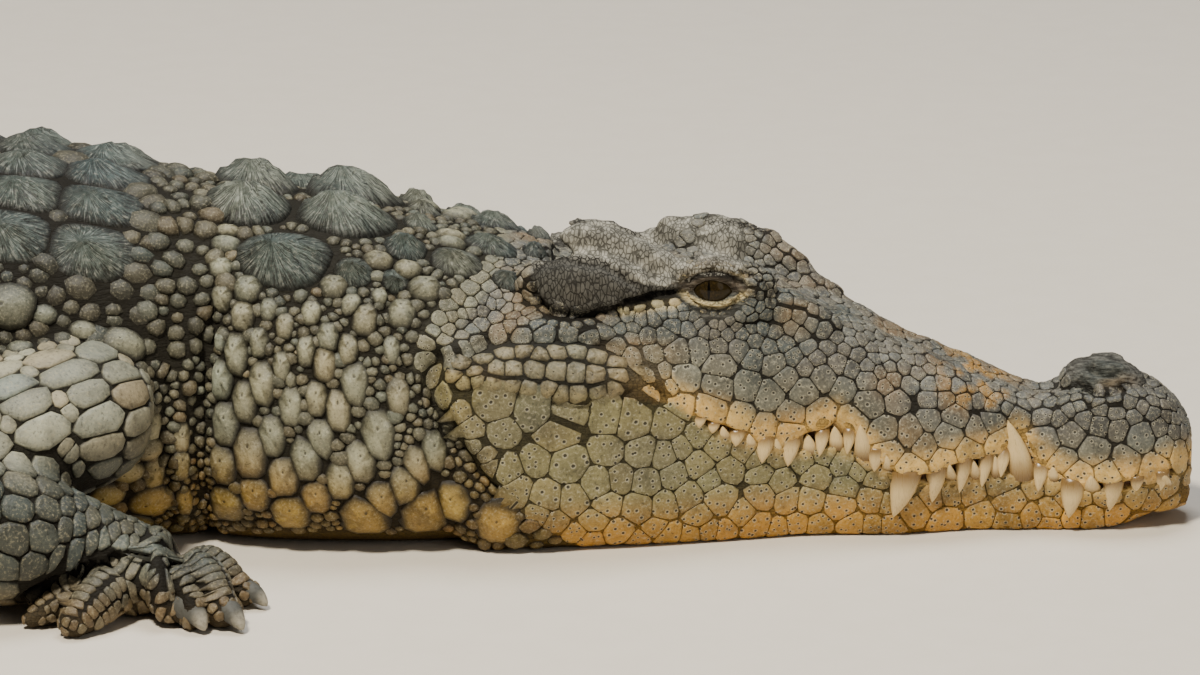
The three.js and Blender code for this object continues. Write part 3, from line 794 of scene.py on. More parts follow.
def toe_lines():
    """Every toe as a bent line from knuckle to tip, with its thickness along it."""
    for _, _, plan, side, shift, swing in LEGS:
        for knuckle, tip, thick, _ in placed(plan, side, shift, swing)["digits"]:
            t = np.linspace(0, 1, 9)
            stations = toe_stations(knuckle, tip, thick)
            top, foot = (limb_point(stations, t, way * np.pi / 2) for way in (1, -1))
            yield (top + foot) / 2, lengths(top - foot) / 2


def near_toes(places):
    """Whether each place is close to a toe."""
    near = np.zeros(len(places), bool)
    for line, _ in toe_lines():
        low, high = line.min(axis=0) - 24, line.max(axis=0) + 24
        near |= ((places > low) & (places < high)).all(axis=1)
    return near


def toe_relief(places):
    """Brings the skin to the toes' own surfaces and sinks the clefts between them."""
    gap = np.full(len(places), 1e3)
    share = np.zeros(len(places))
    for line, thick in toe_lines():
        away, t = reach(places, line)
        own = away - np.interp(t, np.linspace(0, 1, len(thick)), thick) + 1.2
        closer = own < gap
        gap, share = np.where(closer, own, gap), np.where(closer, t, share)
    return np.clip(-gap, -9, 9) * fade(14, 8, gap) * fade(0.05, 0.30, share)


def refine(mesh, chosen):
    """Divides the faces round the chosen vertices once more."""
    bm = bmesh.new()
    bm.from_mesh(mesh)
    bm.verts.ensure_lookup_table()
    picked = np.nonzero(chosen)[0]
    edges = {edge for i in picked for face in bm.verts[i].link_faces for edge in face.edges}
    bmesh.ops.subdivide_edges(bm, edges=list(edges), cuts=1, use_grid_fill=True)
    bmesh.ops.triangulate(bm, faces=[f for f in bm.faces if len(f.verts) > 4])
    bm.to_mesh(mesh)
    bm.free()


def eye_distance(places):
    """How far each place is from the nearer eye's centre."""
    return lengths(np.abs(places) - eye_centre(1))


def needs_detail(places):
    """Places round the mouth, eyes, ears and nostrils."""
    d, z, out = head_place(places)
    band, _, _ = mouth_band(d, z)
    mouth = (band > -5) & (d < 402) & ((out > 0.62 * lip_width(d)) | (d < 25))
    ear, _ = reach(columns(d, z), line_through(EAR_SLIT))
    slits = lengths(columns(d - 68, out - 17, z - 127)) < 16
    return mouth | (eye_distance(places) < 34) | ((ear < 6) & (out > 60)) | slits


def build_skin(sizes):
    """The forms joined, finely meshed where the detail is, then creased, folded and drawn in to the lids."""
    mesh = joined_skin(sizes.voxel, (sizes.body_inset / MM, sizes.head_inset / MM, sizes.limb_inset / MM))
    refine(mesh, needs_detail(get_places(mesh)))
    refine(mesh, eye_distance(get_places(mesh)) < 31)
    refine(mesh, near_toes(get_places(mesh)))
    places, normals = get_places(mesh), get_normals(mesh)
    head = places[:, 0] > SNOUT_TIP - 640
    toes = near_toes(places)
    for _ in range(2):
        places[toes] += normals[toes] * toe_relief(places[toes])[:, None]
        set_places(mesh, places)
        normals = get_normals(mesh)
    lift = body_relief(places)
    lift[head] += head_relief(places[head], normals[head])
    places += normals * lift[:, None]
    places = set_lids(places)
    places[:, 2] = np.maximum(places[:, 2], FLOOR)
    set_places(mesh, places)
    obj = new_object("skin_whole", mesh)
    faces = sum(len(face.vertices) - 2 for face in mesh.polygons)
    thin = obj.modifiers.new("Thin the flats", "DECIMATE")
    thin.ratio = min(SKIN_FACES / faces, 1)
    mesh = evaluated_mesh(obj)
    shade_smooth(mesh)
    return mesh


# ---- colours


def hex_colour(code):
    """A colour as three linear values, from its six-figure hex code."""
    values = np.array([int(code[i:i + 2], 16) for i in (0, 2, 4)]) / 255
    return tuple(np.where(values > 0.04045, ((values + 0.055) / 1.055) ** 2.4, values / 12.92))


def colour_property(name, description, code):
    return FloatVectorProperty(
        name=name, description=description, subtype="COLOR", size=3, min=0, max=1, default=hex_colour(code)
    )


def length_property(name, description, millimetres):
    return FloatProperty(
        name=name, description=description, subtype="DISTANCE", unit="LENGTH", min=0, precision=4,
        default=millimetres * MM,
    )


class SkinSizes(bpy.types.PropertyGroup):
    """How the skin is meshed and how far it lies under the scales."""

    voxel: length_property("Mesh size", "Size of the skin's quads before their local refinement", 4.8)
    body_inset: length_property("Body coat", "Depth of the scales on the trunk, neck and tail", 5)
    head_inset: length_property("Head coat", "Depth of the plates on the head", 1.5)
    limb_inset: length_property("Limb coat", "Depth of the scales on the legs", 3)


class Colours(bpy.types.PropertyGroup):
    """The colours of the hide, teeth, eyes and claws."""

    back: colour_property("Back", "Upper side of the trunk and tail", "4c4d43")
    slate: colour_property("Slate", "Blue-grey of the large plates", "394544")
    flank: colour_property("Flank", "Sides of the neck and trunk", "827f68")
    belly: colour_property("Belly", "Lowest scales of the neck and trunk", "846b31")
    skull: colour_property("Skull", "Top of the head and snout", "565550")
    cheek: colour_property("Cheek", "Sides of the upper head", "696759")
    jaw: colour_property("Jaw", "Sides of the lower jaw", "807852")
    jaw_foot: colour_property("Under the jaw", "Lowest stretch of the jaw", "b3842f")
    lip: colour_property("Lips", "Smooth rims of the mouth", "dcb160")
    # Gums between the lips, dark also as painted shade along the mouth's line.
    gum: colour_property("Gums", "The strip between the lips", "523524")
    leg: colour_property("Legs", "Scales of the legs and feet", "3b3f39")
    worn: colour_property("Worn bone", "Bony ridges and brows", "6f6d64")
    lid: colour_property("Upper lids", "Wrinkled skin over the eyes", "5c5145")
    # Pale rims under the eyes and below the ear slits; also painted highlight on the upper lids' roll.
    rim: colour_property("Lower lids", "Pale rims under the eyes", "c9b98c")
    # Near black: the soft skin between the scales, mostly painted shade in the crevices, creases and slits;
    # also dark blotches and specks.
    crevice: colour_property("Crevices", "Soft skin between the scales", "15120d")
    tooth: colour_property("Teeth", "Crowns of the teeth", "d0b682")
    # Brown of the teeth at the gum, also painted shade at the teeth's bases and their brown streaks.
    tooth_root_and_shade: colour_property("Tooth roots", "Teeth at the gum", "7a5f36")
    iris: colour_property("Iris", "Eyes", "1d170c")
    iris_ray: colour_property("Iris rays", "Fine rays of the eyes", "3b2e15")
    iris_rim: colour_property("Iris rim", "Outer part of the eyes", "2a2210")
    pupil: colour_property("Pupil", "Slit of the eyes", "060504")
    claw: colour_property("Claws", "Claws near the toe", "4e4e49")
    claw_streak: colour_property("Claw streaks", "Dark streaks of the claws", "3a362f")
    claw_tip: colour_property("Claw tips", "Worn ends of the claws", "9c9686")
    # Palest worn skin of the ridges, also painted highlight on the bare skin's wrinkle crests and on the
    # ridges.
    pale_bone_and_highlight: colour_property("Pale bone", "Palest worn skin of the ridges", "cdc9ba")
    sense_dot: colour_property("Sense dots", "Dots and pits of the scales", "14110d")
    fold: colour_property("Fold scales", "Small scales behind the mouth's corner", "7a6f52")
    # Paler upper side of the legs: painted light from above over their own slate.
    leg_top_light: colour_property("Top of the legs", "Pale upper side of the legs", "aaa68e")
    leg_foot: colour_property("Foot of the legs", "Tan of the legs by the floor", "7a623c")
    floor: colour_property("Floor", "The plain floor", "d9d1c3")
    floor_grain: colour_property("Floor grain", "Faint clouds on the floor", "c9bfae")


def settings():
    return bpy.context.scene.crocodile_colours, bpy.context.scene.crocodile_skin


# ---- materials


class Nodes:
    """A short way to write a material's nodes."""

    def __init__(self, name):
        self.material = bpy.data.materials.new(name)
        self.material.use_nodes = True
        self.tree = self.material.node_tree
        self.shader = self.tree.nodes["Principled BSDF"]

    def node(self, kind, inputs=None, **choices):
        made = self.tree.nodes.new(kind)
        for key, value in choices.items():
            setattr(made, key, value)
        for key, value in (inputs or {}).items():
            self.put(made.inputs[key], value)
        return made

    def put(self, socket, value):
        if isinstance(value, bpy.types.NodeSocket):
            self.tree.links.new(value, socket)
        elif hasattr(value, "__len__") and socket.type == "RGBA":
            socket.default_value = (*value[:3], 1)
        else:
            socket.default_value = value

    def object_places(self, scale=(1, 1, 1), location=(0, 0, 0)):
        where = self.node("ShaderNodeTexCoord").outputs["Object"]
        inputs = {"Vector": where, "Scale": scale, "Location": location}
        return self.node("ShaderNodeMapping", inputs).outputs[0]

    def attribute(self, name, output="Fac"):
        return self.node("ShaderNodeAttribute", attribute_name=name).outputs[output]

    def noise(self, where, scale, detail=3.0, roughness=0.55):
        inputs = {"Vector": where, "Scale": scale, "Detail": detail, "Roughness": roughness}
        return self.node("ShaderNodeTexNoise", inputs).outputs["Fac"]

    def cells(self, where, scale, feature="F1", randomness=1.0, flat=False):
        inputs = {"Vector": where, "Scale": scale, "Randomness": randomness}
        space = "2D" if flat else "3D"
        made = self.node("ShaderNodeTexVoronoi", inputs, feature=feature, voronoi_dimensions=space)
        return made.outputs["Distance"]

    def math(self, operation, a, b=0.0):
        return self.node("ShaderNodeMath", {0: a, 1: b}, operation=operation).outputs[0]

    def times(self, a, b):
        return self.math("MULTIPLY", a, b)

    def plus(self, a, b):
        return self.math("ADD", a, b)

    def length(self, a, b):
        return self.math("SQRT", self.plus(self.math("POWER", a, 2.0), self.math("POWER", b, 2.0)))

    def ramp(self, value, low, high, out_low=0.0, out_high=1.0):
        made = self.node(
            "ShaderNodeMapRange",
            {"Value": value, "From Min": low, "From Max": high, "To Min": out_low, "To Max": out_high},
            interpolation_type="SMOOTHSTEP",
        )
        return made.outputs["Result"]

    def mix(self, share, a, b):
        made = self.node("ShaderNodeMix", data_type="RGBA")
        self.put(made.inputs[0], share)
        self.put(made.inputs[6], a)
        self.put(made.inputs[7], b)
        return made.outputs[2]

    def tinted(self, tone, colour, value, low, high, share):
        """The tone with some of a colour, up to the share, as the value goes from low to high."""
        return self.mix(self.ramp(value, low, high, 0.0, share), tone, colour)

    def bump(self, height, strength, distance):
        inputs = {"Height": height, "Strength": strength, "Distance": distance}
        return self.node("ShaderNodeBump", inputs).outputs["Normal"]

    def finish(self, colour, roughness, normal=None, specular=0.4):
        self.put(self.shader.inputs["Base Color"], colour)
        self.put(self.shader.inputs["Roughness"], roughness)
        self.put(self.shader.inputs["Specular IOR Level"], specular)
        if normal is not None:
            self.put(self.shader.inputs["Normal"], normal)
        return self.material


def skin_material(colours):
    """Soft skin between the scales, with fine creases, painted shade in its creases and wrinkles and painted
    highlight on the wrinkles' crests; its markings, with the painted shade between the scales, come with the
    mesh.
    """
    n = Nodes("skin")
    where = n.object_places()
    fine = n.noise(where, 420, 4)
    creases = n.cells(where, 260, "DISTANCE_TO_EDGE")
    bare = n.attribute("bare")
    blotch = n.noise(where, 90, 3)
    level = n.noise(n.object_places((100, 240, 520)), 1.0, 4, 0.55)
    tiles = n.cells(n.object_places((340, 260, 170)), 1.0, "DISTANCE_TO_EDGE")
    upright = n.plus(n.ramp(tiles, 0.02, 0.13, 0.30, 0.52), n.times(blotch, 0.10))
    wrinkles = n.node("ShaderNodeMix", {0: n.attribute("upright"), 2: level, 3: upright}).outputs[0]
    tone = n.mix(n.ramp(fine, 0.35, 0.7, 0.0, 0.4), n.attribute("tone", "Color"), colours.crevice)
    # Painted shade in the fine creases of the skin that the scales cover.
    crease_shade = n.times(n.ramp(creases, 0.0, 0.12, 0.5, 0.0), n.math("SUBTRACT", 1.0, bare))
    tone = n.mix(crease_shade, tone, colours.crevice)
    smooth = n.math("SUBTRACT", 1.0, n.times(n.attribute("worn"), 0.45))
    # Painted shade in the wrinkles of bare skin, less on worn bone.
    dark = n.times(n.times(n.ramp(wrinkles, 0.48, 0.38, 0.0, 0.62), bare), smooth)
    tone = n.mix(dark, tone, colours.crevice)
    tone = n.mix(n.times(n.ramp(blotch, 0.55, 0.35, 0.0, 0.40), bare), tone, colours.crevice)
    # Painted highlight on the wrinkles' crests of bare skin, strongest on worn bone.
    pale = n.times(n.ramp(wrinkles, 0.52, 0.62, 0.0, 0.35), n.plus(n.attribute("worn"), 0.22))
    tone = n.mix(n.times(pale, bare), tone, colours.pale_bone_and_highlight)
    # Pale patches on worn bone: partly its own paler wear, partly painted highlight on the ridges.
    tone = n.mix(n.times(n.ramp(blotch, 0.48, 0.70, 0.0, 0.22), n.attribute("worn")), tone, colours.pale_bone_and_highlight)
    height = n.plus(n.times(fine, 0.5), n.times(n.ramp(wrinkles, 0.38, 0.60), 1.2))
    return n.finish(tone, 0.75, n.bump(height, 0.55, 0.0010), specular=0.15)


def tooth_material(colours):
    n = Nodes("tooth")
    streaks = n.noise(n.object_places((900, 900, 60)), 1.0, 3)
    # Darker towards the root: partly the roots' own brown, partly painted shade at the base; paler towards
    # the point.
    tone = n.mix(n.ramp(n.attribute("lift"), 0.04, 0.50), colours.tooth_root_and_shade, colours.tooth)
    tone = n.tinted(tone, colours.tooth_root_and_shade, streaks, 0.5, 0.8, 0.45)
    return n.finish(tone, n.ramp(streaks, 0.2, 0.8, 0.22, 0.4), n.bump(streaks, 0.15, 0.0006), specular=0.5)


def claw_material(colours):
    n = Nodes("claw")
    streaks = n.noise(n.object_places((180, 180, 180)), 2.0, 5)
    tone = n.mix(n.ramp(n.attribute("lift"), 0.7, 1.0), colours.claw, colours.claw_tip)
    tone = n.tinted(tone, colours.claw_streak, streaks, 0.4, 0.75, 0.5)
    return n.finish(tone, 0.58, n.bump(streaks, 0.5, 0.001), specular=0.25)


def eye_material(colours, centre, side):
    """A dark iris with fine rays and an upright slit pupil."""
    n = Nodes("eye_" + ("left" if side > 0 else "right"))
    where = n.object_places((1 / (EYE_RADIUS * MM),) * 3, tuple(-c / EYE_RADIUS for c in centre))
    parts = n.node("ShaderNodeSeparateXYZ", {0: where})
    along, up = parts.outputs["X"], parts.outputs["Z"]
    along = n.plus(along, 0.16)
    up = n.math("SUBTRACT", up, 0.12)
    narrow = n.times(up, n.times(up, 0.34))
    slit = n.plus(n.math("ABSOLUTE", along), narrow)
    from_middle = n.length(along, up)
    rays = n.noise(n.object_places((260, 260, 260)), 2.2, 6, 0.7)
    iris = n.mix(n.ramp(rays, 0.40, 0.75), colours.iris, colours.iris_ray)
    iris = n.mix(n.ramp(from_middle, 0.25, 0.75), iris, colours.iris_rim)
    tone = n.mix(n.ramp(slit, 0.045, 0.075), colours.pupil, iris)
    return n.finish(tone, 0.05, specular=0.16)


def floor_material(colours):
    n = Nodes("floor")
    grain = n.noise(n.object_places(), 30, 2)
    tone = n.mix(n.ramp(grain, 0.3, 0.7, 0.0, 0.12), colours.floor, colours.floor_grain)
    return n.finish(tone, 0.85)


# ---- markings


def wander(places, size):
    """A slow, smooth wandering value at each place, about -1 to 1."""
    ways = np.array([
        (0.9, 0.3, 0.4), (-0.5, 0.8, 0.35), (0.2, -0.6, 0.85), (1.4, 1.1, -0.7), (-1.2, 0.5, 1.5),
    ])
    phases = np.array([0.3, 1.9, 4.1, 2.6, 5.4])
    return np.sin(places @ ways.T * (2 * np.pi / size) + phases).sum(axis=1) / 3.2


def markings(places, colours):
    """The hide's colour at each place, shared by the skin and every scale."""
    x, z = places[:, 0], places[:, 2]
    d = SNOUT_TIP - x
    level = np.clip(z / np.maximum(back_level(np.minimum(x, NECK_END)), 1), 0, 1.2)
    patchy = wander(places, 260.0)
    level = level + 0.10 * patchy

    def blend(base, key, share):
        return base + (np.array(getattr(colours, key)) - base) * np.clip(share, 0, 1)[:, None]

    body = blend(np.array(colours.belly), "flank", fade(0.12, 0.34, level))
    body = blend(body, "back", fade(0.50, 0.82, level) * mix(0.95, 0.42, fade(430, 540, x)))
    dark_trunk = fade(560, 420, x) * fade(0.18, 0.55, level)
    body = blend(body, "back", 0.75 * dark_trunk)
    bands = fade(-0.1, 0.75, np.sin(x / 38.0 + 1.3 * patchy)) * fade(300, 60, x)
    body = body * (1 - 0.45 * (bands * fade(0.35, 0.7, level)))[:, None]
    return head_markings(body, places, d, blend)


def head_markings(body, places, d, blend):
    """The head's own colours laid over the body's."""
    z = places[:, 2]
    out = np.abs(places[:, 1])
    d_head = np.clip(d, 0, 600)
    upper = level_on(UPPER_LIP, d_head)
    lower = level_on(LOWER_LIP, d_head)
    corner = corner_level(d_head)
    parting = np.where(d_head < 400, (upper + lower) / 2, corner)
    crown = crown_level(d_head)
    tone = blend(body, "cheek", np.ones(len(z)))
    height = (z - parting) / np.maximum(crown - parting, 1)
    tone = blend(tone, "skull", fade(0.30, 0.7, height))
    tone = blend(tone, "slate", 0.45 * fade(0.0, 0.6, wander(places, 150.0)))
    tone = blend(tone, "jaw_foot", 0.18 * fade(0.25, 0.8, wander(places[:, [1, 2, 0]], 95.0)))
    top = fade(0.62, 0.95, height) * (d_head > 100)
    tone = blend(tone, "worn", 0.55 * top * fade(-0.25, 0.4, wander(places, 62.0)))
    rust = bell(d_head - 168, 30) * fade(0.5, 0.8, height)
    tone = blend(tone, "jaw_foot", 0.6 * rust * fade(-0.1, 0.4, wander(places, 33.0)))
    over_lip = z - np.where(d_head < 400, upper, corner + 4)
    rim = fade(24, 4, over_lip) * (over_lip > -4)
    tone = blend(tone, "lip", 0.9 * rim * fade(470, 380, d_head))
    jaw = z < parting
    jaw_tone = blend(tone, "jaw", np.ones(len(z)))
    jaw_tone = blend(jaw_tone, "skull", 0.30 * fade(0.1, 0.7, wander(places[:, [2, 0, 1]], 130.0)))
    jaw_tone = blend(jaw_tone, "jaw_foot", fade(50, 10, z) * 0.95)
    jaw_tone = blend(jaw_tone, "lip", 0.5 * fade(10, 0, lower - z) * fade(400, 330, d_head))
    tone = np.where(jaw[:, None], jaw_tone, tone)
    # The strip between the lips: the gums' own colour, made dark as painted shade along the mouth's line.
    band, _, _ = mouth_band(d_head, z)
    tone = blend(tone, "gum", fade(0.6, 2.4, band) * (d < MOUTH_CORNER) * (out > 0.4 * lip_width(d_head)))
    rear_line = sorted((up, back) for back, up in JAW_REAR + ((540, 200), (530, 225)))
    rear = np.interp(np.clip(z, 0, 230), *zip(*rear_line))
    tone = lid_markings(tone, places, d, z, out, blend)
    return body + (tone - body) * fade(6, -6, d - rear)[:, None]


def lid_markings(tone, places, d, z, out, blend):
    """Dark wrinkled upper lids with painted shade in their folds and a painted highlight on their roll, pale
    rims below, painted shade in the ear slit and the grooves by the ear flap and nostrils, and pale worn bone
    behind the eyes.
    """
    gap = almond_gap(columns(d - EYE_BACK, z - EYE_LEVEL))
    near = (eye_distance(places) < 46) & (out > 40)
    above = fade(-3, 3, z - EYE_LEVEL)
    spots = columns(d, z)
    worn = on_skull_table(places) | ((eye_distance(places) < 40) & (z > EYE_LEVEL + 10))
    tone = blend(tone, "worn", 0.85 * worn)
    tone = blend(tone, "lid", 0.9 * above * fade(16, 9, gap) * near)
    # Painted shade in the groove above the eye.
    tone = blend(tone, "crevice", 0.7 * above * bell(gap - 5.6, 1.2) * near)
    # Painted highlight on the upper lid's roll.
    tone = blend(tone, "rim", 0.45 * above * bell(gap - 9.2, 1.6) * near)
    rim = fade(7.0, 5.0, gap) * fade(0.2, 1.2, gap)
    tone = blend(tone, "rim", 0.95 * (1 - above) * rim * near)
    # Painted shade in the crease under the lower lid's rim.
    tone = blend(tone, "crevice", 0.7 * (1 - above) * bell(gap - 8.4, 1.6) * near)
    # Painted shade along each fold of the upper lid.
    for fold in LID_FOLDS:
        away, _ = reach(spots, line_through(shifted(fold, EYE_BACK, EYE_LEVEL)))
        tone = blend(tone, "crevice", 0.85 * fade(2.6, 0.8, away) * (out > 40))
    flap = on_ear_flap(d, z, out)
    tone = blend(tone, "skull", 0.9 * flap)
    tone = blend(tone, "crevice", 0.35 * flap)
    # Painted shade in the ear slit and along the grooves under the ridge and round the flap.
    for line, low, wide in ((EAR_SLIT, 48, 2.9), (UNDER_RIDGE[:-2], 44, 3.2), (FLAP_EDGE, 48, 4.0)):
        away, _ = reach(spots, line_through(line))
        tone = blend(tone, "crevice", 0.92 * fade(wide, 0.4 * wide, away) * (out > low))
    away, _ = reach(spots, line_through(shifted(EAR_SLIT, 0, -8)))
    tone = blend(tone, "rim", 0.6 * fade(5.0, 2.5, away) * (out > 48))
    # Painted shade in the crease beside the nostrils.
    away, _ = reach(spots, line_through(NOSTRIL_SIDE))
    return blend(tone, "crevice", 0.9 * fade(3.6, 1.2, away) * (d < 110))


def bare_skin(places):
    """How bare of scales the skin is: on the lids, ear flaps, lips, nostrils and bony ridges."""
    d, z, out = head_place(places)
    band, _, _ = mouth_band(np.clip(d, 0, MOUTH_CORNER), z)
    lips = fade(-4.0, -1.0, band) * (d < MOUTH_CORNER)
    eyes = fade(33, 28, eye_distance(places)) * (d < 480)
    flap = on_ear_flap(d, z, out)
    smooth_bone = on_skull_table(places) | on_nostrils(d, z, out)
    return np.clip(lips + eyes + flap + smooth_bone, 0, 1)


def crack_shade(places):
    """How much painted shade darkens the skin between the scales: soft on the lips and jaw, near black on the
    body.
    """
    d, level, _ = head_place(places)
    lip = level_on(UPPER_LIP, d)
    jaw = level < parting_level(d)
    by_lip = fade(30, 8, np.abs(level - lip + 4)) * fade(430, 380, d)
    soft = np.maximum(by_lip, fade(44, 22, level))
    corner = np.exp(-(((d - 424) / 24) ** 2) - ((level - 150) / 18) ** 2)
    head = mix(np.where(jaw, 0.80, 0.88), 0.50, np.maximum(soft, corner))
    return np.where(d < head_edge(level), head, mix(0.60, 0.94, fade(8, 24, level)))


def leg_markings(places, colours):
    """The legs are slate, made paler higher up as painted light on their upper side, and tan towards the
    floor.
    """
    base = np.repeat(np.array(colours.leg)[None], len(places), 0)
    pale = np.array(colours.leg_top_light)
    z = places[:, 2]
    # Painted light: the legs grow paler towards their top, with some patchiness.
    share = 0.50 * fade(88, 128, z) + 0.14 * wander(places, 120.0)
    tone = base + (pale - base) * np.clip(share, 0, 1)[:, None]
    return mix(tone, np.array(colours.leg_foot), (0.55 * fade(48, 10, z))[:, None])


# ---- attributes


def set_colours(mesh, name, colours):
    """A colour for each vertex."""
    layer = mesh.attributes.new(name, "FLOAT_COLOR", "POINT")
    rgba = np.concatenate([np.clip(colours, 0, 1), np.ones((len(colours), 1))], axis=1)
    layer.data.foreach_set("color", rgba.astype(np.float32).ravel())


def set_values(mesh, name, values):
    layer = mesh.attributes.new(name, "FLOAT", "POINT")
    layer.data.foreach_set("value", np.asarray(values, np.float32))


def set_map(mesh, name, spots):
    """A UV map from one place for each vertex."""
    layer = mesh.uv_layers.new(name=name)
    corner = np.empty(len(mesh.loops), np.int32)
    mesh.loops.foreach_get("vertex_index", corner)
    layer.uv.foreach_set("vector", spots[corner].astype(np.float32).ravel())


def add_piece(name, mesh, material, slot, *nodes):
    """A finished piece on the model's one body."""
    obj = new_object(name, mesh)
    mesh.materials.clear()
    mesh.materials.append(material)
    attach(obj, BODY)
    if nodes:
        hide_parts(*nodes)
    return obj


# ---- teeth, eyes and claws


def tooth_rings(row, up, side):
    """A curved, slightly flattened crown; `up` is 1 for a lower tooth and -1 for an upper one."""
    d, root, tip, width = row
    thick = width * 0.72
    lean = (0.25 if width > 15 and d > 100 else 0.1) * abs(tip - root)
    if up > 0:
        out_root, out_tip = jaw_width(d) - 0.42 * thick, lip_width(d) + 0.10 * thick
    else:
        out_root, out_tip = lip_width(d) - 0.42 * thick, jaw_width(d) + 0.26 * thick + 1.0
    out_root, out_tip = out_root + (4.0 if d < 50 else 0.0), out_tip + (4.5 if d < 50 else 0.0)
    t = np.concatenate([[-0.22, -0.10], np.linspace(0, 0.86, 7), [0.94, 0.985, 1.0]])
    girth = np.where(t < 0, 1.22, 1.22 * np.clip(1 - np.clip(t, 0, 1) ** 1.8, 0, 1) ** 0.8)
    girth = np.maximum(girth * np.where(t > 0.97, 0.8, 1.0), 0.05)
    turn = full_turn(12)
    share = np.clip(t, 0, 1)
    middle_d = d + lean * share**1.5
    middle_y = mix(out_root, out_tip, np.sin(share * 1.57)) + (26.0 + 2.4 * width) * np.minimum(t, 0)
    middle_z = root + (tip - root) * t
    rings = np.empty((len(t), len(turn), 3))
    rings[..., 0] = SNOUT_TIP - (middle_d[:, None] + 0.5 * width * girth[:, None] * np.cos(turn))
    rings[..., 1] = side * (middle_y[:, None] + 0.5 * thick * girth[:, None] * np.sin(turn))
    rings[..., 2] = middle_z[:, None]
    return rings


def build_teeth(colours):
    bm = bmesh.new()
    lift = bm.verts.layers.float.new("lift")
    for rows, up in ((UPPER_TEETH, -1), (LOWER_TEETH, 1)):
        for row in rows:
            for side in (-1, 1):
                first = len(bm.verts)
                loft(bm, tooth_rings(row, up, side))
                bm.verts.ensure_lookup_table()
                for vert in bm.verts[first:]:
                    vert[lift] = min(max((vert.co.z / MM - row[1]) / (row[2] - row[1]), 0), 1)
    bmesh.ops.recalc_face_normals(bm, faces=bm.faces)
    mesh = finished_mesh(bm, "teeth")
    shade_smooth(mesh)
    return add_piece("teeth", mesh, tooth_material(colours), "claw")


def build_eye(colours, side):
    name = "left" if side > 0 else "right"
    centre = eye_centre(side)
    gaze = unit(np.array([-0.1, side, 0.1]))
    bm = bmesh.new()
    bmesh.ops.create_uvsphere(bm, u_segments=56, v_segments=36, radius=1)
    for vert in bm.verts:
        ray = np.array(vert.co)
        bulge = 1.3 * fade(0.72, 0.95, float(ray @ gaze))
        vert.co = Vector((centre + ray * (EYE_RADIUS + bulge)) * MM)
    mesh = finished_mesh(bm, "eyeball_" + name)
    shade_smooth(mesh)
    return add_piece("eyeball_" + name, mesh, eye_material(colours, centre, side), "eye", "eye_" + name)


def claw_rings(tip, thick, point):
    """A blunt claw grows out of the toe's end and curves down to the floor."""
    (tx, ty, tz), (cx, cy) = tip, point
    start = np.array([tx - (cx - tx) * 0.3, ty - (cy - ty) * 0.3, tz + thick * 0.20])
    end = np.array([cx, cy, 3.5])
    t = np.concatenate([np.linspace(0, 0.8, 8), [0.9, 0.96, 1.0]])
    arch = thick * 0.34 * np.sin(np.pi * t**1.2)
    middle = mix(start, end, t[:, None]) + columns(0.0, 0.0, arch)
    along = unit(np.gradient(middle, axis=0))
    side = unit(np.cross((0, 0, 1), along))
    up = np.cross(along, side)
    girth = (np.clip(1 - t**2.4, 0.004, 1) ** 0.58)[:, None, None]
    turn = full_turn(20)[None, :, None]
    ring = np.cos(turn) * side[:, None] * thick * 0.66 + np.sin(turn) * up[:, None] * thick * 0.62
    rings = middle[:, None] + ring * girth
    rings[..., 2] = np.maximum(rings[..., 2], FLOOR + 0.3)
    return rings


def build_claws(colours):
    material = claw_material(colours)
    for end, flank, plan, side, shift, swing in LEGS:
        digits = [digit for digit in placed(plan, side, shift, swing)["digits"] if digit[3]]
        for number, (_, tip, thick, point) in enumerate(digits, 1):
            bm = bmesh.new()
            lift = bm.verts.layers.float.new("lift")
            loft(bm, claw_rings(tip, thick, point))
            root = Vector(tip[:2]) * MM
            reach_out = (Vector(point) * MM - root).length
            for vert in bm.verts:
                vert[lift] = min(max((vert.co.xy - root).length / reach_out, 0), 1)
            bmesh.ops.recalc_face_normals(bm, faces=bm.faces)
            name = f"{end}claw_{number}_{flank}"
            mesh = finished_mesh(bm, "shown_" + name)
            shade_smooth(mesh)
            add_piece("shown_" + name, mesh, material, "claw", name)


FLESH = ["head", "lower_jaw", "neck", "trunk", "tail_base", "tail_middle", "tail_end"] + [
    f"{end}{part}_{flank}"
    for end in ("fore", "hind")
    for part in ("leg_upper", "leg_lower", "foot")
    for flank in ("right", "left")
]


# ---- scales


class Surface:
    """The finished skin, to set scales on."""

    def __init__(self):
        mesh = bpy.data.objects["skin"].data
        self.places = get_places(mesh)
        self.normals = get_normals(mesh)
        faces = [tuple(face.vertices) for face in mesh.polygons]
        self.tree = BVHTree.FromPolygons(self.places.tolist(), faces)
        self.faces = np.array([face[:3] for face in faces])
        corners = self.places[self.faces]
        self.middles = corners.mean(axis=1)
        cross = np.cross(corners[:, 1] - corners[:, 0], corners[:, 2] - corners[:, 0])
        share = np.array([len(face) - 2 for face in faces])
        self.areas = lengths(cross) / 2 * share
        self.facing = unit(cross)

    def nearest(self, spots):
        """The nearest place on the skin and its normal, for each spot."""
        found = [self.tree.find_nearest(spot)[:2] for spot in spots.tolist()]
        return np.array([hit[0][:] for hit in found]), np.array([hit[1][:] for hit in found])

    def seen_from(self, starts, ray):
        """Where rays from outside first meet the skin; rays that miss give NaN."""
        ray = Vector(ray)
        found = [self.tree.ray_cast(Vector(start), ray)[0] for start in starts.tolist()]
        return np.array([hit[:] if hit else (np.nan,) * 3 for hit in found])

    def head_side(self, back, up, side):
        """Places on one side of the head from their distance behind the snout's tip and their level."""
        return self.seen_from(columns(SNOUT_TIP - back, side * 400.0, up), (0, -side, 0))

    def from_above(self, x, y):
        return self.seen_from(columns(x, y, 500.0), (0, 0, -1))


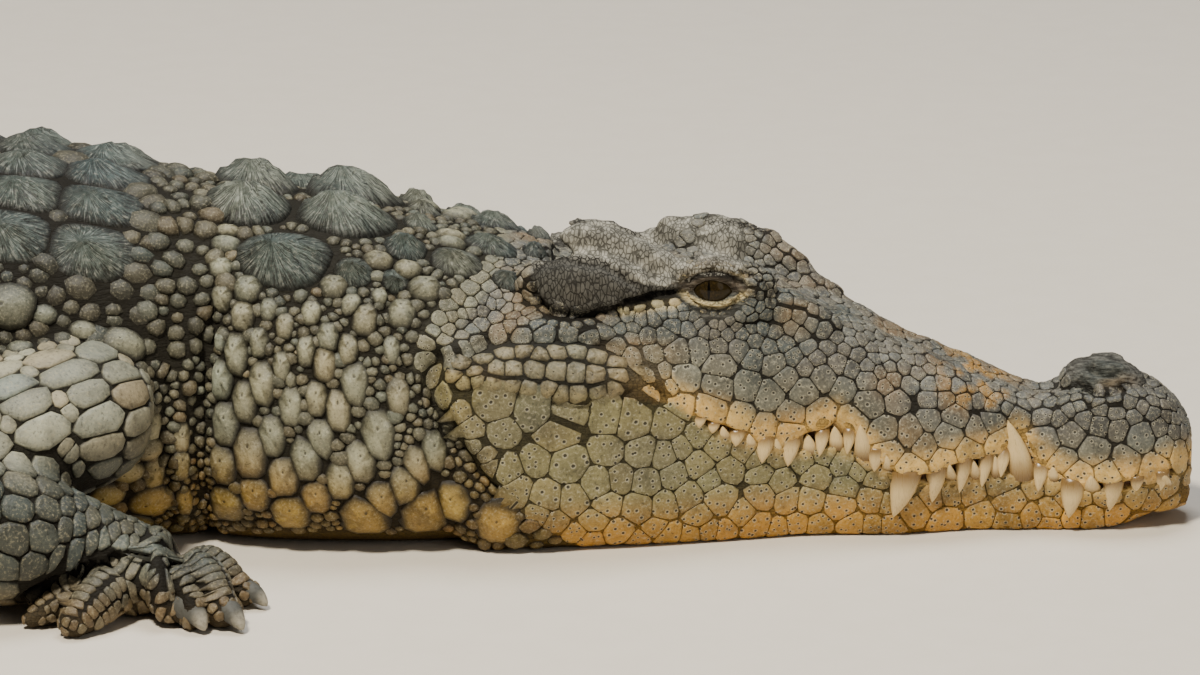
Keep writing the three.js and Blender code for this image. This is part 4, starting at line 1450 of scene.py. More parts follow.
AHEAD = (1, 0, 0)  # along the body, towards the snout


class Seeds:
    """Where scales grow: places, lengthwise directions, half sizes, heights, keels and map places."""

    FIELDS = ("places", "along", "half", "height", "chart", "keel", "cap")

    def __init__(self, places, along, half, height, chart, keel=0.0, cap=1.0):
        count = len(places)
        self.places = np.asarray(places, float).reshape(count, 3)
        self.along = np.broadcast_to(np.asarray(along, float), (count, 3)).copy()
        self.half = np.broadcast_to(np.asarray(half, float), (count, 2)).copy()
        self.height = np.broadcast_to(np.asarray(height, float), (count,)).copy()
        self.chart = np.asarray(chart, float).reshape(count, 2)
        self.keel = np.broadcast_to(np.asarray(keel, float), (count,)).copy()
        self.cap = np.broadcast_to(np.asarray(cap, float), (count,)).copy()

    def only(self, keep):
        return Seeds(*[getattr(self, field)[keep] for field in self.FIELDS])

    def __len__(self):
        return len(self.places)


def joined_seeds(*groups):
    return Seeds(*[np.concatenate([getattr(group, field) for group in groups]) for field in Seeds.FIELDS])


def joined(growing):
    """Lets a function that yields groups of seeds return them as one group."""
    @functools.wraps(growing)
    def grown(*given):
        return joined_seeds(*growing(*given))

    return grown


def settled(seeds, surface, tolerance=14.0):
    """The seeds moved onto the skin, with frames; those that lie away from it or on the floor are dropped."""
    on_skin, normals = surface.nearest(seeds.places)
    gap = lengths(on_skin - seeds.places)
    keep = (gap < tolerance) & (on_skin[:, 2] > FLOOR + 1.0)
    seeds = seeds.only(keep)
    seeds.places, normals = on_skin[keep], normals[keep]
    along = seeds.along - dot(seeds.along, normals)[:, None] * normals
    return seeds, unit(along), np.cross(normals, unit(along)), normals


def nearest_others(places, count):
    """For each place the numbers of its nearest neighbours."""
    tree = place_tree(places)
    count = min(count, len(places) - 1)
    return np.array([[hit[1] for hit in tree.find_n(place, count + 1)[1:]] for place in places])


def outlines(seeds, along, across, spokes, gap, roundness, fill):
    """Each scale's outline as a share of its half size at each spoke: it stops half-way to its neighbours."""
    others = nearest_others(seeds.places, 11)
    apart = seeds.places[others] - seeds.places[:, None]
    own = np.stack([
        dot(apart, along[:, None]) / seeds.half[:, 0, None],
        dot(apart, across[:, None]) / seeds.half[:, 1, None],
    ], axis=-1)
    theirs = np.hypot(
        dot(apart, along[others]) / seeds.half[others, 0],
        dot(apart, across[others]) / seeds.half[others, 1],
    )
    mine = lengths(own)
    share = theirs / (theirs + mine)
    turn = full_turn(spokes)
    ray = np.stack([np.cos(turn), np.sin(turn)], axis=-1)
    towards = np.einsum("nmc,kc->nkm", own, ray)
    wall = (share * mine**2)[:, None, :] / np.maximum(towards, 1e-3)
    wall = np.clip(wall * fill, 0.05, 50)
    reach_out = ((wall**-roundness).sum(axis=2) + seeds.cap[:, None] ** -roundness) ** (-1 / roundness)
    return np.maximum(reach_out - gap / np.sqrt(seeds.half.prod(axis=1))[:, None], 0.25)


def scale_disc(spokes, rings):
    """One flat disc: a fan at its middle and a band of faces for each further ring."""
    bm = bmesh.new()
    bmesh.ops.create_circle(bm, cap_ends=True, cap_tris=True, segments=spokes, radius=1)
    for ring in range(2, rings + 1):
        edge = [e for e in bm.edges if e.is_boundary]
        grown = bmesh.ops.extrude_edge_only(bm, edges=edge)["geom"]
        for vert in (v for v in grown if isinstance(v, bmesh.types.BMVert)):
            vert.co = vert.co.normalized() * ring
    bmesh.ops.recalc_face_normals(bm, faces=bm.faces)
    if sum(face.normal.z for face in bm.faces) < 0:
        bmesh.ops.reverse_faces(bm, faces=bm.faces)
    return finished_mesh(bm, "scale_disc")


def repeated(mesh, count):
    """The mesh repeated by an array, with the copies joined in one mesh."""
    obj = new_object("scales", mesh)
    array = obj.modifiers.new("Scales", "ARRAY")
    array.use_relative_offset = False
    array.use_constant_offset = True
    array.constant_offset_displace = (0, 0, 0)
    array.count = count
    return evaluated_mesh(obj)


# How a scale's height falls from its middle to its edge: (share of its outline, share of its height).
DOME = ((0, 1.0), (0.36, 0.93), (0.66, 0.68), (0.88, 0.34), (1.0, 0.0), (1.04, -0.35))
OVAL = ((0, 1.0), (0.4, 0.92), (0.72, 0.66), (0.93, 0.28), (1.02, -0.3))
PLATE = ((0, 1.0), (0.68, 0.98), (0.90, 0.80), (0.985, 0.30), (1.01, -0.6))
SCUTE = (
    (0, 1.0), (0.12, 0.99), (0.26, 0.95), (0.42, 0.87), (0.58, 0.74), (0.74, 0.55), (0.87, 0.34),
    (0.96, 0.12), (1.02, -0.25),
)
GRAIN = ((0, 1.0), (0.6, 0.75), (1.0, -0.2))
PATCH = 0.003  # a scale's size on the bake map


def make_scales(name, seeds, surface, colours, paint, shape, spokes, gap=0.8, roundness=8.0, fill=1.0,
                peak=0.0, tolerance=14.0, rough=0.0, tint=0.13, seed=1, material=None):
    """Solid scales on the skin as one piece: domes, plates or keeled scutes that fit together."""
    rng = np.random.default_rng(seed)
    seeds, along, across, normals = settled(seeds, surface, tolerance)
    shape = np.array(shape)
    disc = scale_disc(spokes, len(shape) - 1)
    flat = get_places(disc) * MM
    ring = np.rint(lengths(flat[:, :2])).astype(int)
    spoke = np.rint(np.arctan2(flat[:, 1], flat[:, 0]) / (2 * np.pi) * spokes).astype(int) % spokes
    reach_out = outlines(seeds, along, across, spokes, gap, roundness, fill)[:, spoke]
    turn = spoke * 2 * np.pi / spokes
    share = shape[ring, 0]
    a = reach_out * share * np.cos(turn)
    b = reach_out * share * np.sin(turn)
    lengthwise, sideways = along * seeds.half[:, :1], across * seeds.half[:, 1:]
    spread = a[..., None] * lengthwise[:, None] + b[..., None] * sideways[:, None]
    spots = (seeds.places[:, None] + spread).reshape(-1, 3)
    feet, foot_normals = surface.nearest(spots)
    lift_way = unit(0.65 * np.repeat(normals, len(flat), 0) + 0.35 * foot_normals)
    rise = shape[ring, 1] * seeds.height[:, None]
    ridge = bell(b, 0.16) * 0.55 + 0.45 * np.clip(1 - np.abs(b) / 0.85, 0, 1)
    crest = np.clip(1 - ((a + peak) / 0.95) ** 2, 0, 1)
    rise = rise + seeds.keel[:, None] * ridge * crest * (share < 1)
    rise = rise * (1 + rough * rng.normal(size=rise.shape) * (share < 0.99))
    places = feet + lift_way * rise.reshape(-1, 1)
    places[:, 2] = np.maximum(places[:, 2], FLOOR + 0.2)
    mesh = repeated(disc, len(seeds))
    set_places(mesh, places)
    shade_smooth(mesh)
    tone = paint(feet, colours)
    step = rng.normal(size=(len(seeds), 1)) * tint
    warm = rng.normal(size=(len(seeds), 1)) * tint * 0.35
    change = np.exp(np.repeat(np.hstack([step + warm, step, step - warm]), len(flat), 0))
    set_colours(mesh, "tone", tone * change)
    set_values(mesh, "lift", np.tile(np.clip(1 - share**2.2, 0, 1), len(seeds)))
    set_values(mesh, "pick", np.repeat(rng.random(len(seeds)), len(flat)))
    local = np.stack([a, b], axis=-1)
    set_map(mesh, "ScaleMap", local.reshape(-1, 2))
    chart = seeds.chart - seeds.chart.min(axis=0)
    chart = 0.004 + 0.992 * chart / np.maximum(chart.max(axis=0), 1e-6)
    set_map(mesh, "OFBake", (chart[:, None] + local * (PATCH / 2.2)).reshape(-1, 2))
    return add_piece(name, mesh, material, "hide")


# edge and band set each scale's painted shade at its rim; crown sets its painted highlight.
def scale_material(name, colours, dots=0.0, pit=0.0, rays=0.0, grain=420, edge=0.6, band=0.30, wear=0.25,
                   crown=0.0, pale="c9c2a6", own_tone_in_rim_shade=0.0):
    """Horny scales: painted shade at the edge, a painted highlight on the crown, pale worn specks, and sense
    dots or fine rays where they have them.
    """
    n = Nodes(name)
    where = n.object_places()
    lift = n.attribute("lift")
    pick = n.attribute("pick")
    parts = n.node("ShaderNodeSeparateXYZ", {0: n.node("ShaderNodeUVMap", uv_map="ScaleMap").outputs[0]})
    a, b = parts.outputs["X"], parts.outputs["Y"]
    fine = n.noise(where, grain, 5, 0.65)
    blotch = n.noise(where, 55, 3)
    tone = n.attribute("tone", "Color")
    # Painted highlight: each scale is brightened towards its crown, by the crown share.
    painted_highlight = n.node("ShaderNodeVectorMath", {0: tone, "Scale": 2.2}, operation="SCALE").outputs["Vector"]
    tone = n.tinted(tone, painted_highlight, lift, 0.35, 1.0, crown)
    tone = n.tinted(tone, colours.crevice, blotch, 0.40, 0.75, 0.45)
    tone = n.tinted(tone, hex_colour(pale), fine, 0.5, 0.72, wear)
    tone = n.tinted(tone, colours.crevice, fine, 0.46, 0.30, 0.6)
    height = n.times(fine, 0.8)
    if rays:
        turn = n.math("ARCTAN2", b, n.plus(a, 0.3))
        out = n.length(a, b)
        lines = n.node("ShaderNodeCombineXYZ", {
            "X": n.times(turn, 13.0), "Y": n.times(out, 1.8), "Z": n.times(pick, 40.0)})
        streak = n.noise(lines.outputs[0], 1.7, 3, 0.6)
        # Painted shade in the rays' grooves and painted highlight on the ribs between them.
        tone = n.tinted(tone, colours.crevice, streak, 0.49, 0.41, rays * 0.80)
        tone = n.tinted(tone, hex_colour(pale), streak, 0.55, 0.66, rays * 0.12)
        height = n.plus(height, n.times(n.ramp(streak, 0.40, 0.58), 0.9))
    if dots:
        shift = n.times(pick, 90.0)
        map_place = n.node("ShaderNodeCombineXYZ", {
            "X": n.plus(n.times(a, 1.25), shift),
            "Y": n.plus(n.times(b, 1.25), shift)})
        cell = n.cells(map_place.outputs[0], 1.0, "F1", 0.85, flat=True)
        tone = n.tinted(tone, hex_colour(pale), cell, 0.26, 0.17, dots * 0.35)
        tone = n.tinted(tone, colours.sense_dot, cell, 0.14, 0.095, dots)
        height = n.math("SUBTRACT", height, n.ramp(cell, 0.16, 0.06, 0.0, 1.4))
    if pit:
        off = n.length(n.plus(a, 0.28), b)
        tone = n.tinted(tone, colours.sense_dot, off, 0.07, 0.04, pit)
        height = n.math("SUBTRACT", height, n.ramp(off, 0.11, 0.04, 0.0, 0.9))
    # Painted shade: each scale darkens towards its edge, to the near-black colour or, by the own-tone share,
    # to its own tone darkened.
    own = n.node("ShaderNodeVectorMath", {0: n.attribute("tone", "Color"), "Scale": 0.22}, operation="SCALE")
    rim = n.mix(own_tone_in_rim_shade, colours.crevice, own.outputs["Vector"])
    tone = n.mix(n.ramp(lift, band, 0.0, 0.0, edge), tone, rim)
    lumps = n.noise(where, 170, 3)
    height = n.plus(height, n.times(lumps, 1.2))
    return n.finish(tone, n.ramp(fine, 0.2, 0.8, 0.40, 0.62), n.bump(height, 0.7, 0.0011), specular=0.36)


def fold_paint(feet, colours):
    """The small scales behind the mouth's corner are tan."""
    return mix(markings(feet, colours), np.array(colours.fold), 0.5)


def oval_paint(feet, colours):
    """The neck's ovals are a little darker than the flank."""
    return mix(markings(feet, colours), np.array(colours.crevice), 0.20)


def grain_paint(feet, colours):
    """The grains are darker than the scales they surround: painted shade of the hollows between those scales;
    the tail's crest takes the same darker tone.
    """
    return mix(markings(feet, colours), np.array(colours.crevice), 0.62)


def slate_paint(feet, colours):
    """The large plates are blue-grey."""
    share = 0.72 + 0.22 * wander(feet, 150.0)
    return mix(markings(feet, colours), np.array(colours.slate), share[:, None])


def body_chart(places):
    """A place's map position on the body: along it and round it."""
    x = places[:, 0]
    turn = np.arctan2(places[:, 2] - 0.3 * back_level(x), places[:, 1] - spine_sway(x))
    return columns(x, turn)


def clear_of(spots, seeds, margin=1.1):
    """Whether each spot lies outside every scale of a larger kind."""
    tree = place_tree(seeds.places)
    near = np.array([[hit[1] for hit in tree.find_n(spot, 5)] for spot in spots])
    along = unit(seeds.along)
    apart = spots[:, None] - seeds.places[near]
    lengthwise = dot(apart, along[near])
    sideways = np.sqrt(np.maximum(dot(apart, apart) - lengthwise**2, 0))
    limit = seeds.cap[near] * margin
    return (np.hypot(lengthwise / seeds.half[near, 0], sideways / seeds.half[near, 1]) > limit).all(axis=1)


def scattered(surface, size_at, inside, spacing=0.82, seed=3, rounds=5, tries=11, avoid=None, margin=1.1):
    """Jumbled places on the skin, as far apart as size_at says, each moved to the middle of its own patch."""
    rng = np.random.default_rng(seed)
    ok = inside(surface.middles, surface.facing)
    weight = surface.areas[ok] / size_at(surface.middles[ok]) ** 2
    count = int(weight.sum() * tries)
    pick = rng.choice(np.nonzero(ok)[0], size=count, p=weight / weight.sum())
    mixers = rng.dirichlet((1, 1, 1), size=count)
    samples = np.einsum("nk,nkc->nc", mixers, surface.places[surface.faces[pick]])
    if avoid is not None:
        samples = samples[clear_of(samples, avoid, margin)]
    sizes = size_at(samples)
    cell = sizes.max()
    grid, kept = {}, []
    for i, (spot, size) in enumerate(zip(samples, sizes)):
        key = tuple((spot // cell).astype(int))
        near = [j for dx in (-1, 0, 1) for dy in (-1, 0, 1) for dz in (-1, 0, 1)
                for j in grid.get((key[0] + dx, key[1] + dy, key[2] + dz), ())]
        if near:
            gaps = lengths(samples[near] - spot)
            if (gaps < spacing * 0.5 * (sizes[near] + size)).any():
                continue
        grid.setdefault(key, []).append(i)
        kept.append(i)
    spots = samples[kept]
    for _ in range(rounds):
        tree = place_tree(spots)
        owner = np.array([tree.find(sample)[1] for sample in samples])
        number = np.bincount(owner, minlength=len(spots))
        middle = np.stack([np.bincount(owner, axis, len(spots)) for axis in samples.T], axis=1)
        middle = np.where(number[:, None] > 0, middle / np.maximum(number, 1)[:, None], spots)
        moved, normals = surface.nearest(middle)
        spots = np.where(inside(moved, normals)[:, None], moved, spots)
    return spots, size_at(spots)


def place_tree(places):
    """A tree that finds the nearest of the places."""
    tree = KDTree(len(places))
    for i, place in enumerate(places):
        tree.insert(place, i)
    tree.balance()
    return tree


def thinned(seeds, closeness=0.6):
    """The seeds without those that crowd an earlier one."""
    tree = place_tree(seeds.places)
    along = unit(seeds.along)
    keep = np.ones(len(seeds), bool)
    for i, place in enumerate(seeds.places):
        for _, j, _ in tree.find_range(place, closeness * 2 * seeds.half[i].max()):
            if j >= i or not keep[j]:
                continue
            apart = seeds.places[j] - place
            lengthwise = apart @ along[i]
            sideways = math.sqrt(max(apart @ apart - lengthwise**2, 0))
            reach_both = seeds.half[i] + seeds.half[j]
            if math.hypot(lengthwise / reach_both[0], sideways / reach_both[1]) < closeness:
                keep[i] = False
                break
    return seeds.only(keep)


# ---- the coat's pieces


def head_edge(level):
    """How far behind the snout's tip the head ends, at each level."""
    levels = (0, 14, 34, 57, 81, 108, 132, 152, 168, 190, 212, 232)
    return np.interp(level, levels, (470, 488, 515, 538, 557, 574, 588, 598, 598, 584, 556, 530))


def between_folds(d, level):
    """Whether a place lies between the two folds behind the mouth's corner."""
    upper = level_on(CHEEK_FOLD, d)
    lower = level_on(UNDER_FOLD, d)
    return (d > 418) & (d < 576) & (level < upper) & (level > lower)


def head_plate_size(places):
    """Across a head plate: small round the eyes and on the crown, large on the jaw's rear."""
    d, level, _ = head_place(places)
    upper = level_on(UPPER_LIP, d)
    jaw = level < parting_level(d)
    share = np.clip((level - upper) / np.maximum(crown_level(d) - upper, 1), 0, 1.2)
    size = mix(20.0, 10.5, fade(0.40, 0.78, share))
    size = np.where(jaw, mix(18.0, 24.5, fade(330, 500, d)), size)
    size = np.where((d > 400) & ~jaw, np.minimum(size, 15.0), size)
    size = np.minimum(size, 12 + 0.6 * np.maximum(head_edge(level) - 9 - d, 0))
    size = mix(size * 0.6, size, fade(26, 60, eye_distance(places)))
    return size * (1 + 0.22 * wander(places, 60.0))


def on_skull_table(places):
    """The smooth bony ridges behind the eyes."""
    d, level, out = head_place(places)
    level = level + FAR_RIDGE_DROP * (places[:, 1] > 0)
    ridge = level_on(UNDER_RIDGE, d)
    return (d > 388) & (d < 510) & (level > ridge) & (out > 34)


def on_ear_flap(d, level, out):
    """The dark skin that hangs from the ridge over the ear."""
    edge = level_on(FLAP_EDGE, d)
    ridge = level_on(UNDER_RIDGE, d)
    return (d > 398) & (d < 509) & (level > np.where(d < 438, 192, edge)) & (level < ridge) & (out > 48)


def on_nostrils(d, level, out):
    """The soft disc round the nostrils."""
    return (np.hypot((d - 68) / 33, out / 29) < 1) & (level > 100)


def on_head(places, normals):
    """Whether plates may grow at a place: on the head, clear of the mouth, eyes, folds and slits."""
    d, level, out = head_place(places)
    band, _, _ = mouth_band(d, level)
    clear = (d < head_edge(level) - 9) & (level > FLOOR + 2)
    clear &= ~((band > -1.6) & (d < MOUTH_CORNER))
    clear &= eye_distance(places) > 32
    clear &= ~on_skull_table(places) & ~on_nostrils(d, level, out)
    clear &= ~(between_folds(d, level) & (out > 60))
    ear, _ = reach(columns(d, level), line_through(EAR_SLIT))
    clear &= ~((ear < 11) & (out > 48))
    rim, _ = reach(columns(d, level + 5), line_through(FLAP_EDGE[1:]))
    clear &= ~((rim < 4) & (out > 48))
    return clear & ~on_ear_flap(d, level, out)


def head_seeds(surface):
    """The head's plates, each with its place on an unrolled head."""
    spots, sizes = scattered(surface, head_plate_size, on_head, seed=11)
    half = columns(sizes, sizes) * 0.5
    d = SNOUT_TIP - spots[:, 0]
    turn = np.arctan2(spots[:, 2] - lip_level(d), spots[:, 1])
    return Seeds(spots, AHEAD, half, 1.15, columns(d, turn), cap=1.7)


@joined
def fold_seeds(surface):
    """Rows of small brick-like scales between the folds behind the mouth."""
    rng = np.random.default_rng(5)
    for side in (-1, 1):
        for row, (share, length, height) in enumerate(((0.14, 14, 9), (0.45, 15.5, 12), (0.80, 13, 11))):
            back = np.arange(430 + 7 * row, 572 - 6 * (2 - row), length) + (row % 2) * 5
            back = back + rng.normal(size=len(back)) * 1.7
            upper = level_on(CHEEK_FOLD, back)
            lower = level_on(UNDER_FOLD, back)
            level = mix(upper - 2, lower + 2, share) + rng.normal(size=len(back)) * 1.1
            spots = surface.head_side(back, level, side)
            ok = ~np.isnan(spots[:, 0])
            tall = np.clip((upper - lower) * 0.36, 4, height)
            half = columns(length * 0.56, tall * 0.64)
            chart = columns(back, side * level)
            yield Seeds(spots, AHEAD, half, 2.4, chart, cap=1.5).only(ok)


@joined
def lid_seeds(surface):
    """Beads round the eyes and along the foot of the ear flaps and slits."""
    for side in (-1, 1):
        centre = eye_centre(side)
        loop = curve(list(ALMOND) + [ALMOND[0]], 57)[:-1]
        out = unit(loop - loop.mean(axis=0))
        for offset, size, low in ((2.2, 3.6, -0.4), (5.4, 4.6, -0.2), (11.0, 6.4, 2.0)):
            ring = loop + out * offset
            run = run_along(ring)
            even = np.arange(0, run[-1], size)
            ring = columns(*[np.interp(even, run, axis) for axis in ring.T])
            if offset < 11:
                ring = ring[ring[:, 1] < low * 5 + 3]
            depth = np.sqrt(np.maximum((EYE_RADIUS + 3) ** 2 - (ring**2).sum(axis=1), 30))
            spots = centre + columns(-ring[:, 0], side * depth, ring[:, 1])
            ahead = np.gradient(ring, axis=0)
            along = columns(-ahead[:, 0], 0.0, ahead[:, 1])
            chart = columns(ring[:, 0] + 60 * side, ring[:, 1])
            yield Seeds(spots, along, (size * 0.52, size * 0.44), 0.9, chart)
        for line, drop, size in ((FLAP_EDGE[1:], 5, 7.5), (EAR_SLIT, 7, 8.5)):
            back, level = line_through(line, size).T
            spots = surface.head_side(back, level - drop, side)
            chart = columns(back - 520, level)
            rim = Seeds(spots, AHEAD, (size * 0.56, 3.4), 2.0, chart, cap=1.3)
            yield rim.only(~np.isnan(spots[:, 0]))


def arc_angles(x, first, last, steps):
    """Angles on the body's section at x whose places are the given steps apart, from first on, in degrees."""
    fine = np.radians(np.linspace(first, last, 400))
    run = run_along(body_point(float(x), fine))
    at = np.concatenate([[0], np.cumsum(steps)])
    return np.interp(at[at < run[-1]], run, fine)


def body_frame(x, angle):
    """Places on the body and the directions round it."""
    place = body_point(x, angle)
    ahead = body_point(x, angle + 0.02) - body_point(x, angle - 0.02)
    return place, unit(ahead)


def turn_on(turn, side):
    """An angle of the right side's, on that side or mirrored to the left."""
    return turn if side < 0 else np.pi - turn


NECK_BACK = 546  # where the neck's ovals give way to the shoulder's
NECK_STACKS = 9


@joined
def neck_seeds():
    """Ovals in stacks from the shoulder to the jaw, tall and squarish low down, small near the nape."""
    rng = np.random.default_rng(5)
    steps = np.array([33, 35, 35, 32, 29, 26, 23, 21, 19, 18, 17, 17, 16, 16])
    angles = arc_angles(650, 206, 96, steps)
    for side in (-1, 1):
        for stack in range(NECK_STACKS):
            number = len(angles)
            row = np.arange(number - 1) + 0.5 * (stack % 2)
            turn = np.interp(row, np.arange(number), angles) + rng.normal(size=len(row)) * 0.022
            level = body_point(650, turn)[:, 2]
            front = SNOUT_TIP - head_edge(level) - 7
            x = mix(NECK_BACK, front, (stack + 0.5) / NECK_STACKS) + rng.normal(size=len(row)) * 2.0
            place, around = body_frame(x, turn_on(turn, side))
            tall = np.interp(row, np.arange(len(steps)), steps)
            grow = np.clip(1 + 0.15 * rng.normal(size=len(row)), 0.65, 1.3)
            half = columns(tall * 0.60, (front - NECK_BACK) / NECK_STACKS * 0.64)
            half *= (grow * mix(1.0, 0.95, fade(3, 9, row)))[:, None]
            cap = mix(1.15, 0.96, fade(0.0, 4.0, row))
            height = mix(4.6, 7.4, fade(0, 4, row)) * mix(1.0, 0.75, fade(8, 13, row)) * grow
            chart = columns(x, side * (4.2 - turn))
            yield Seeds(place, around, half, height, chart, cap=cap)
        for x, wide in ((528, 18), (508, 20)):
            turn = arc_angles(x, 206, 178, [32, 34, 34])
            turn = turn + rng.normal(size=len(turn)) * 0.02
            place, around = body_frame(x, turn_on(turn, side))
            chart = columns(float(x), side * (4.2 - turn))
            yield Seeds(place, around, (16, wide * 0.52), 3.0, chart, cap=1.05)


# The large plates of the nape: (x, out, length, width, height, keel), with pointed ones round them.
NAPE_PLATES = (
    (645, 34, 90, 66, 10, 13), (571, 32, 72, 64, 11, 11), (604, 90, 78, 60, 9, 12),
)
NAPE_POINTS = (
    (693, 62, 38, 32, 5, 10), (655, 96, 34, 30, 5, 9), (686, 92, 24, 22, 4, 6), (700, 20, 30, 24, 4, 6),
    (757, 30, 46, 30, 5, 7), (731, 62, 46, 34, 5, 7), (772, 64, 28, 22, 4, 6), (790, 24, 24, 20, 4, 5),
)


@joined
def nape_seeds(surface, rows):
    """The nape's plates on both sides, from their table."""
    for x, out, length, width, height, keel in rows:
        for side in (-1, 1):
            spot = surface.from_above(np.array([x]), spine_sway(x) + side * out)
            half = (length / 2, width / 2)
            yield Seeds(spot, AHEAD, half, height, [[x, side * out]], keel, 1.08)


SHIELD_FRONT, SHIELD_BACK, SHIELD_ROWS = 492, TRUNK_BACK, 18


def plate_width(x):
    """Across a plate of the shield: narrower where the trunk is."""
    return 54 * mix(0.75, 1.0, float(half_width(x)) / BROADEST)


@joined
def shield_seeds():
    """The back's shield: rows of keeled plates, three or four on each side of the midline."""
    rng = np.random.default_rng(8)
    pitch = (SHIELD_FRONT - SHIELD_BACK) / SHIELD_ROWS
    for row in range(SHIELD_ROWS):
        x = SHIELD_FRONT - pitch * (row + 0.5)
        across = plate_width(x)
        count = 4 if 1 < row < 15 else 3
        for side in (-1, 1):
            angles = arc_angles(x, 90, 180, [across * 0.5] + [across] * (count - 1))[1:count + 1]
            number = len(angles)
            turn = turn_on(angles, side)
            place = body_point(x + rng.normal(size=number) * 2.5, turn)
            order = np.arange(number)
            size = mix(1.0, 0.90, order / 3)
            half = columns(pitch * 0.54 * size, across * 0.53 * size)
            chart = columns(x, side * (order + 0.5) * across)
            yield Seeds(place, AHEAD, half, 4.4 + 0.8 * rng.random(number), chart, 8.5 * size, 1.2)


@joined
def flank_seeds(side):
    """The flank's ovals, from the shield's edge to the belly: larger keeled ones among smaller."""
    rng = np.random.default_rng(21 + side)
    for x in np.arange(488, TRUNK_BACK, -31.0):
        first = arc_angles(x, 90, 180, [plate_width(x) * 3.75])[-1]
        steps = [25, 27, 29, 28, 27, 27, 27, 27, 27, 27, 27, 27]
        angles = arc_angles(x, np.degrees(first) + 2, 232, steps)
        number = len(angles)
        big = mix(1.22, 1.5, fade(250, 420, x))
        grow = np.where(rng.random(number) < 0.34, big, 0.84) * (1 + 0.08 * rng.normal(size=number))
        grow[number // 2:] = mix(grow[number // 2:], 1.0, 0.6)
        xs = x + 15.5 * (np.arange(number) % 2) + rng.normal(size=number) * 3.5
        turn = angles + rng.normal(size=number) * 0.012
        place = body_point(xs, turn_on(turn, side))
        half = columns(16.4 * grow, 12.4 * grow)
        low = fade(0.45, 1.0, np.arange(number) / max(number - 1, 1))
        chart = columns(xs, turn)
        height = mix(5.6, 2.6, low) * grow
        keel = mix(2.6, 0.0, low) * grow
        yield Seeds(place, AHEAD, half, height, chart, keel, mix(0.95, 1.2, low))


TAIL_RINGS = 44


@joined
def tail_seeds():
    """Rings of four-sided scales round the tail."""
    rng = np.random.default_rng(31)
    edges = TRUNK_BACK - (TRUNK_BACK - TAIL_TIP) * np.linspace(0, 1, TAIL_RINGS + 1) ** 0.97
    for front, back in zip(edges[:-1], edges[1:]):
        x = (front + back) / 2
        if x < TAIL_TIP + 12:
            continue
        pitch = front - back
        fine = np.radians(np.linspace(98, 222, 200))
        run = run_along(body_point(x, fine))
        number = max(int(run[-1] / 29), 2)
        turn = np.interp((np.arange(number) + 0.5) / number * run[-1], run, fine)
        tall = run[-1] / number
        for side in (-1, 1):
            place = body_point(x + rng.normal(size=number), turn_on(turn, side))
            half = np.tile((pitch * 0.5, tall * 0.5), (number, 1))
            keel = 2.2 * fade(0.7, 0.1, np.arange(number) / number)
            chart = columns(x, side * turn)
            yield Seeds(place, AHEAD, half, 2.6 * min(tall / 26, 1), chart, keel, 1.35)


@joined
def crest_seeds(surface):
    """Blades along the tail's top: two rows that draw together, then one row to the tip."""
    pairs = np.linspace(-655, -1330, 12)
    singles = np.linspace(-1385, TAIL_TIP + 40, 16)
    out = 14 + 30 * np.linspace(1, 0, len(pairs))
    rows = [(pairs, side * out, 61 * 0.56) for side in (-1, 1)] + [(singles, 0 * singles, 53 * 0.58)]
    for x, y, length in rows:
        tall = np.interp(x, (TAIL_TIP, -1900, -1330, -900, -650), (14, 32, 40, 28, 15))
        spots = surface.from_above(x, spine_sway(x) + y)
        ok = ~np.isnan(spots[:, 0])
        ahead = columns(1.0, (spine_sway(x + 10) - spine_sway(x - 10)) / 20, 0.0)
        half = columns(length, np.minimum(11, 4 + 0.14 * (x - TAIL_TIP)))
        chart = columns(x, 3.0 * y)
        yield Seeds(spots, ahead, half, 3.0, chart, tall, 1.1).only(ok)


def limb_frames(stations, t, angle):
    """Places on a limb and the directions along it."""
    place = limb_point(stations, t, angle)
    before, after = (limb_point(stations, np.clip(t + step, 0, 1), angle) for step in (-0.02, 0.02))
    return place, unit(after - before)


def limb_girth(stations, t):
    return length_of(limb_point(stations, t, np.linspace(0, 2 * np.pi, 49)))


def limb_length(stations, first, last):
    return length_of(limb_point(stations, np.linspace(first, last, 40), np.pi / 2))


@joined
def limb_seeds(surface, stations, first, last, pitch, width, height, rng, offset, cap):
    """Rows of scales round a limb, where its own surface shows; pitch runs along it and width round it."""
    count = max(int(round(limb_length(stations, first, last) / pitch)), 1)
    for row in range(count):
        t = mix(first, last, (row + 0.5) / count)
        number = max(int(round(limb_girth(stations, t) / width)), 4)
        jitter = rng.normal(size=number) * 0.05
        angle = np.pi / 2 + (np.arange(number) + 0.5 * (row % 2) + jitter) / number * 2 * np.pi
        place, ahead = limb_frames(stations, t + rng.normal(size=number) * 0.004, angle)
        out = unit(place - limb_point(stations, t, angle + np.pi))
        on_skin, normals = surface.nearest(place)
        shows = (lengths(on_skin - place) < 9) & (dot(normals, out) > 0.30)
        half = np.tile((pitch * 0.64, width * 0.60), (number, 1)) * (1 + 0.06 * rng.normal(size=(number, 1)))
        chart = columns(offset + t, angle)
        yield Seeds(place, ahead, half, height, chart, cap=cap).only(shows)


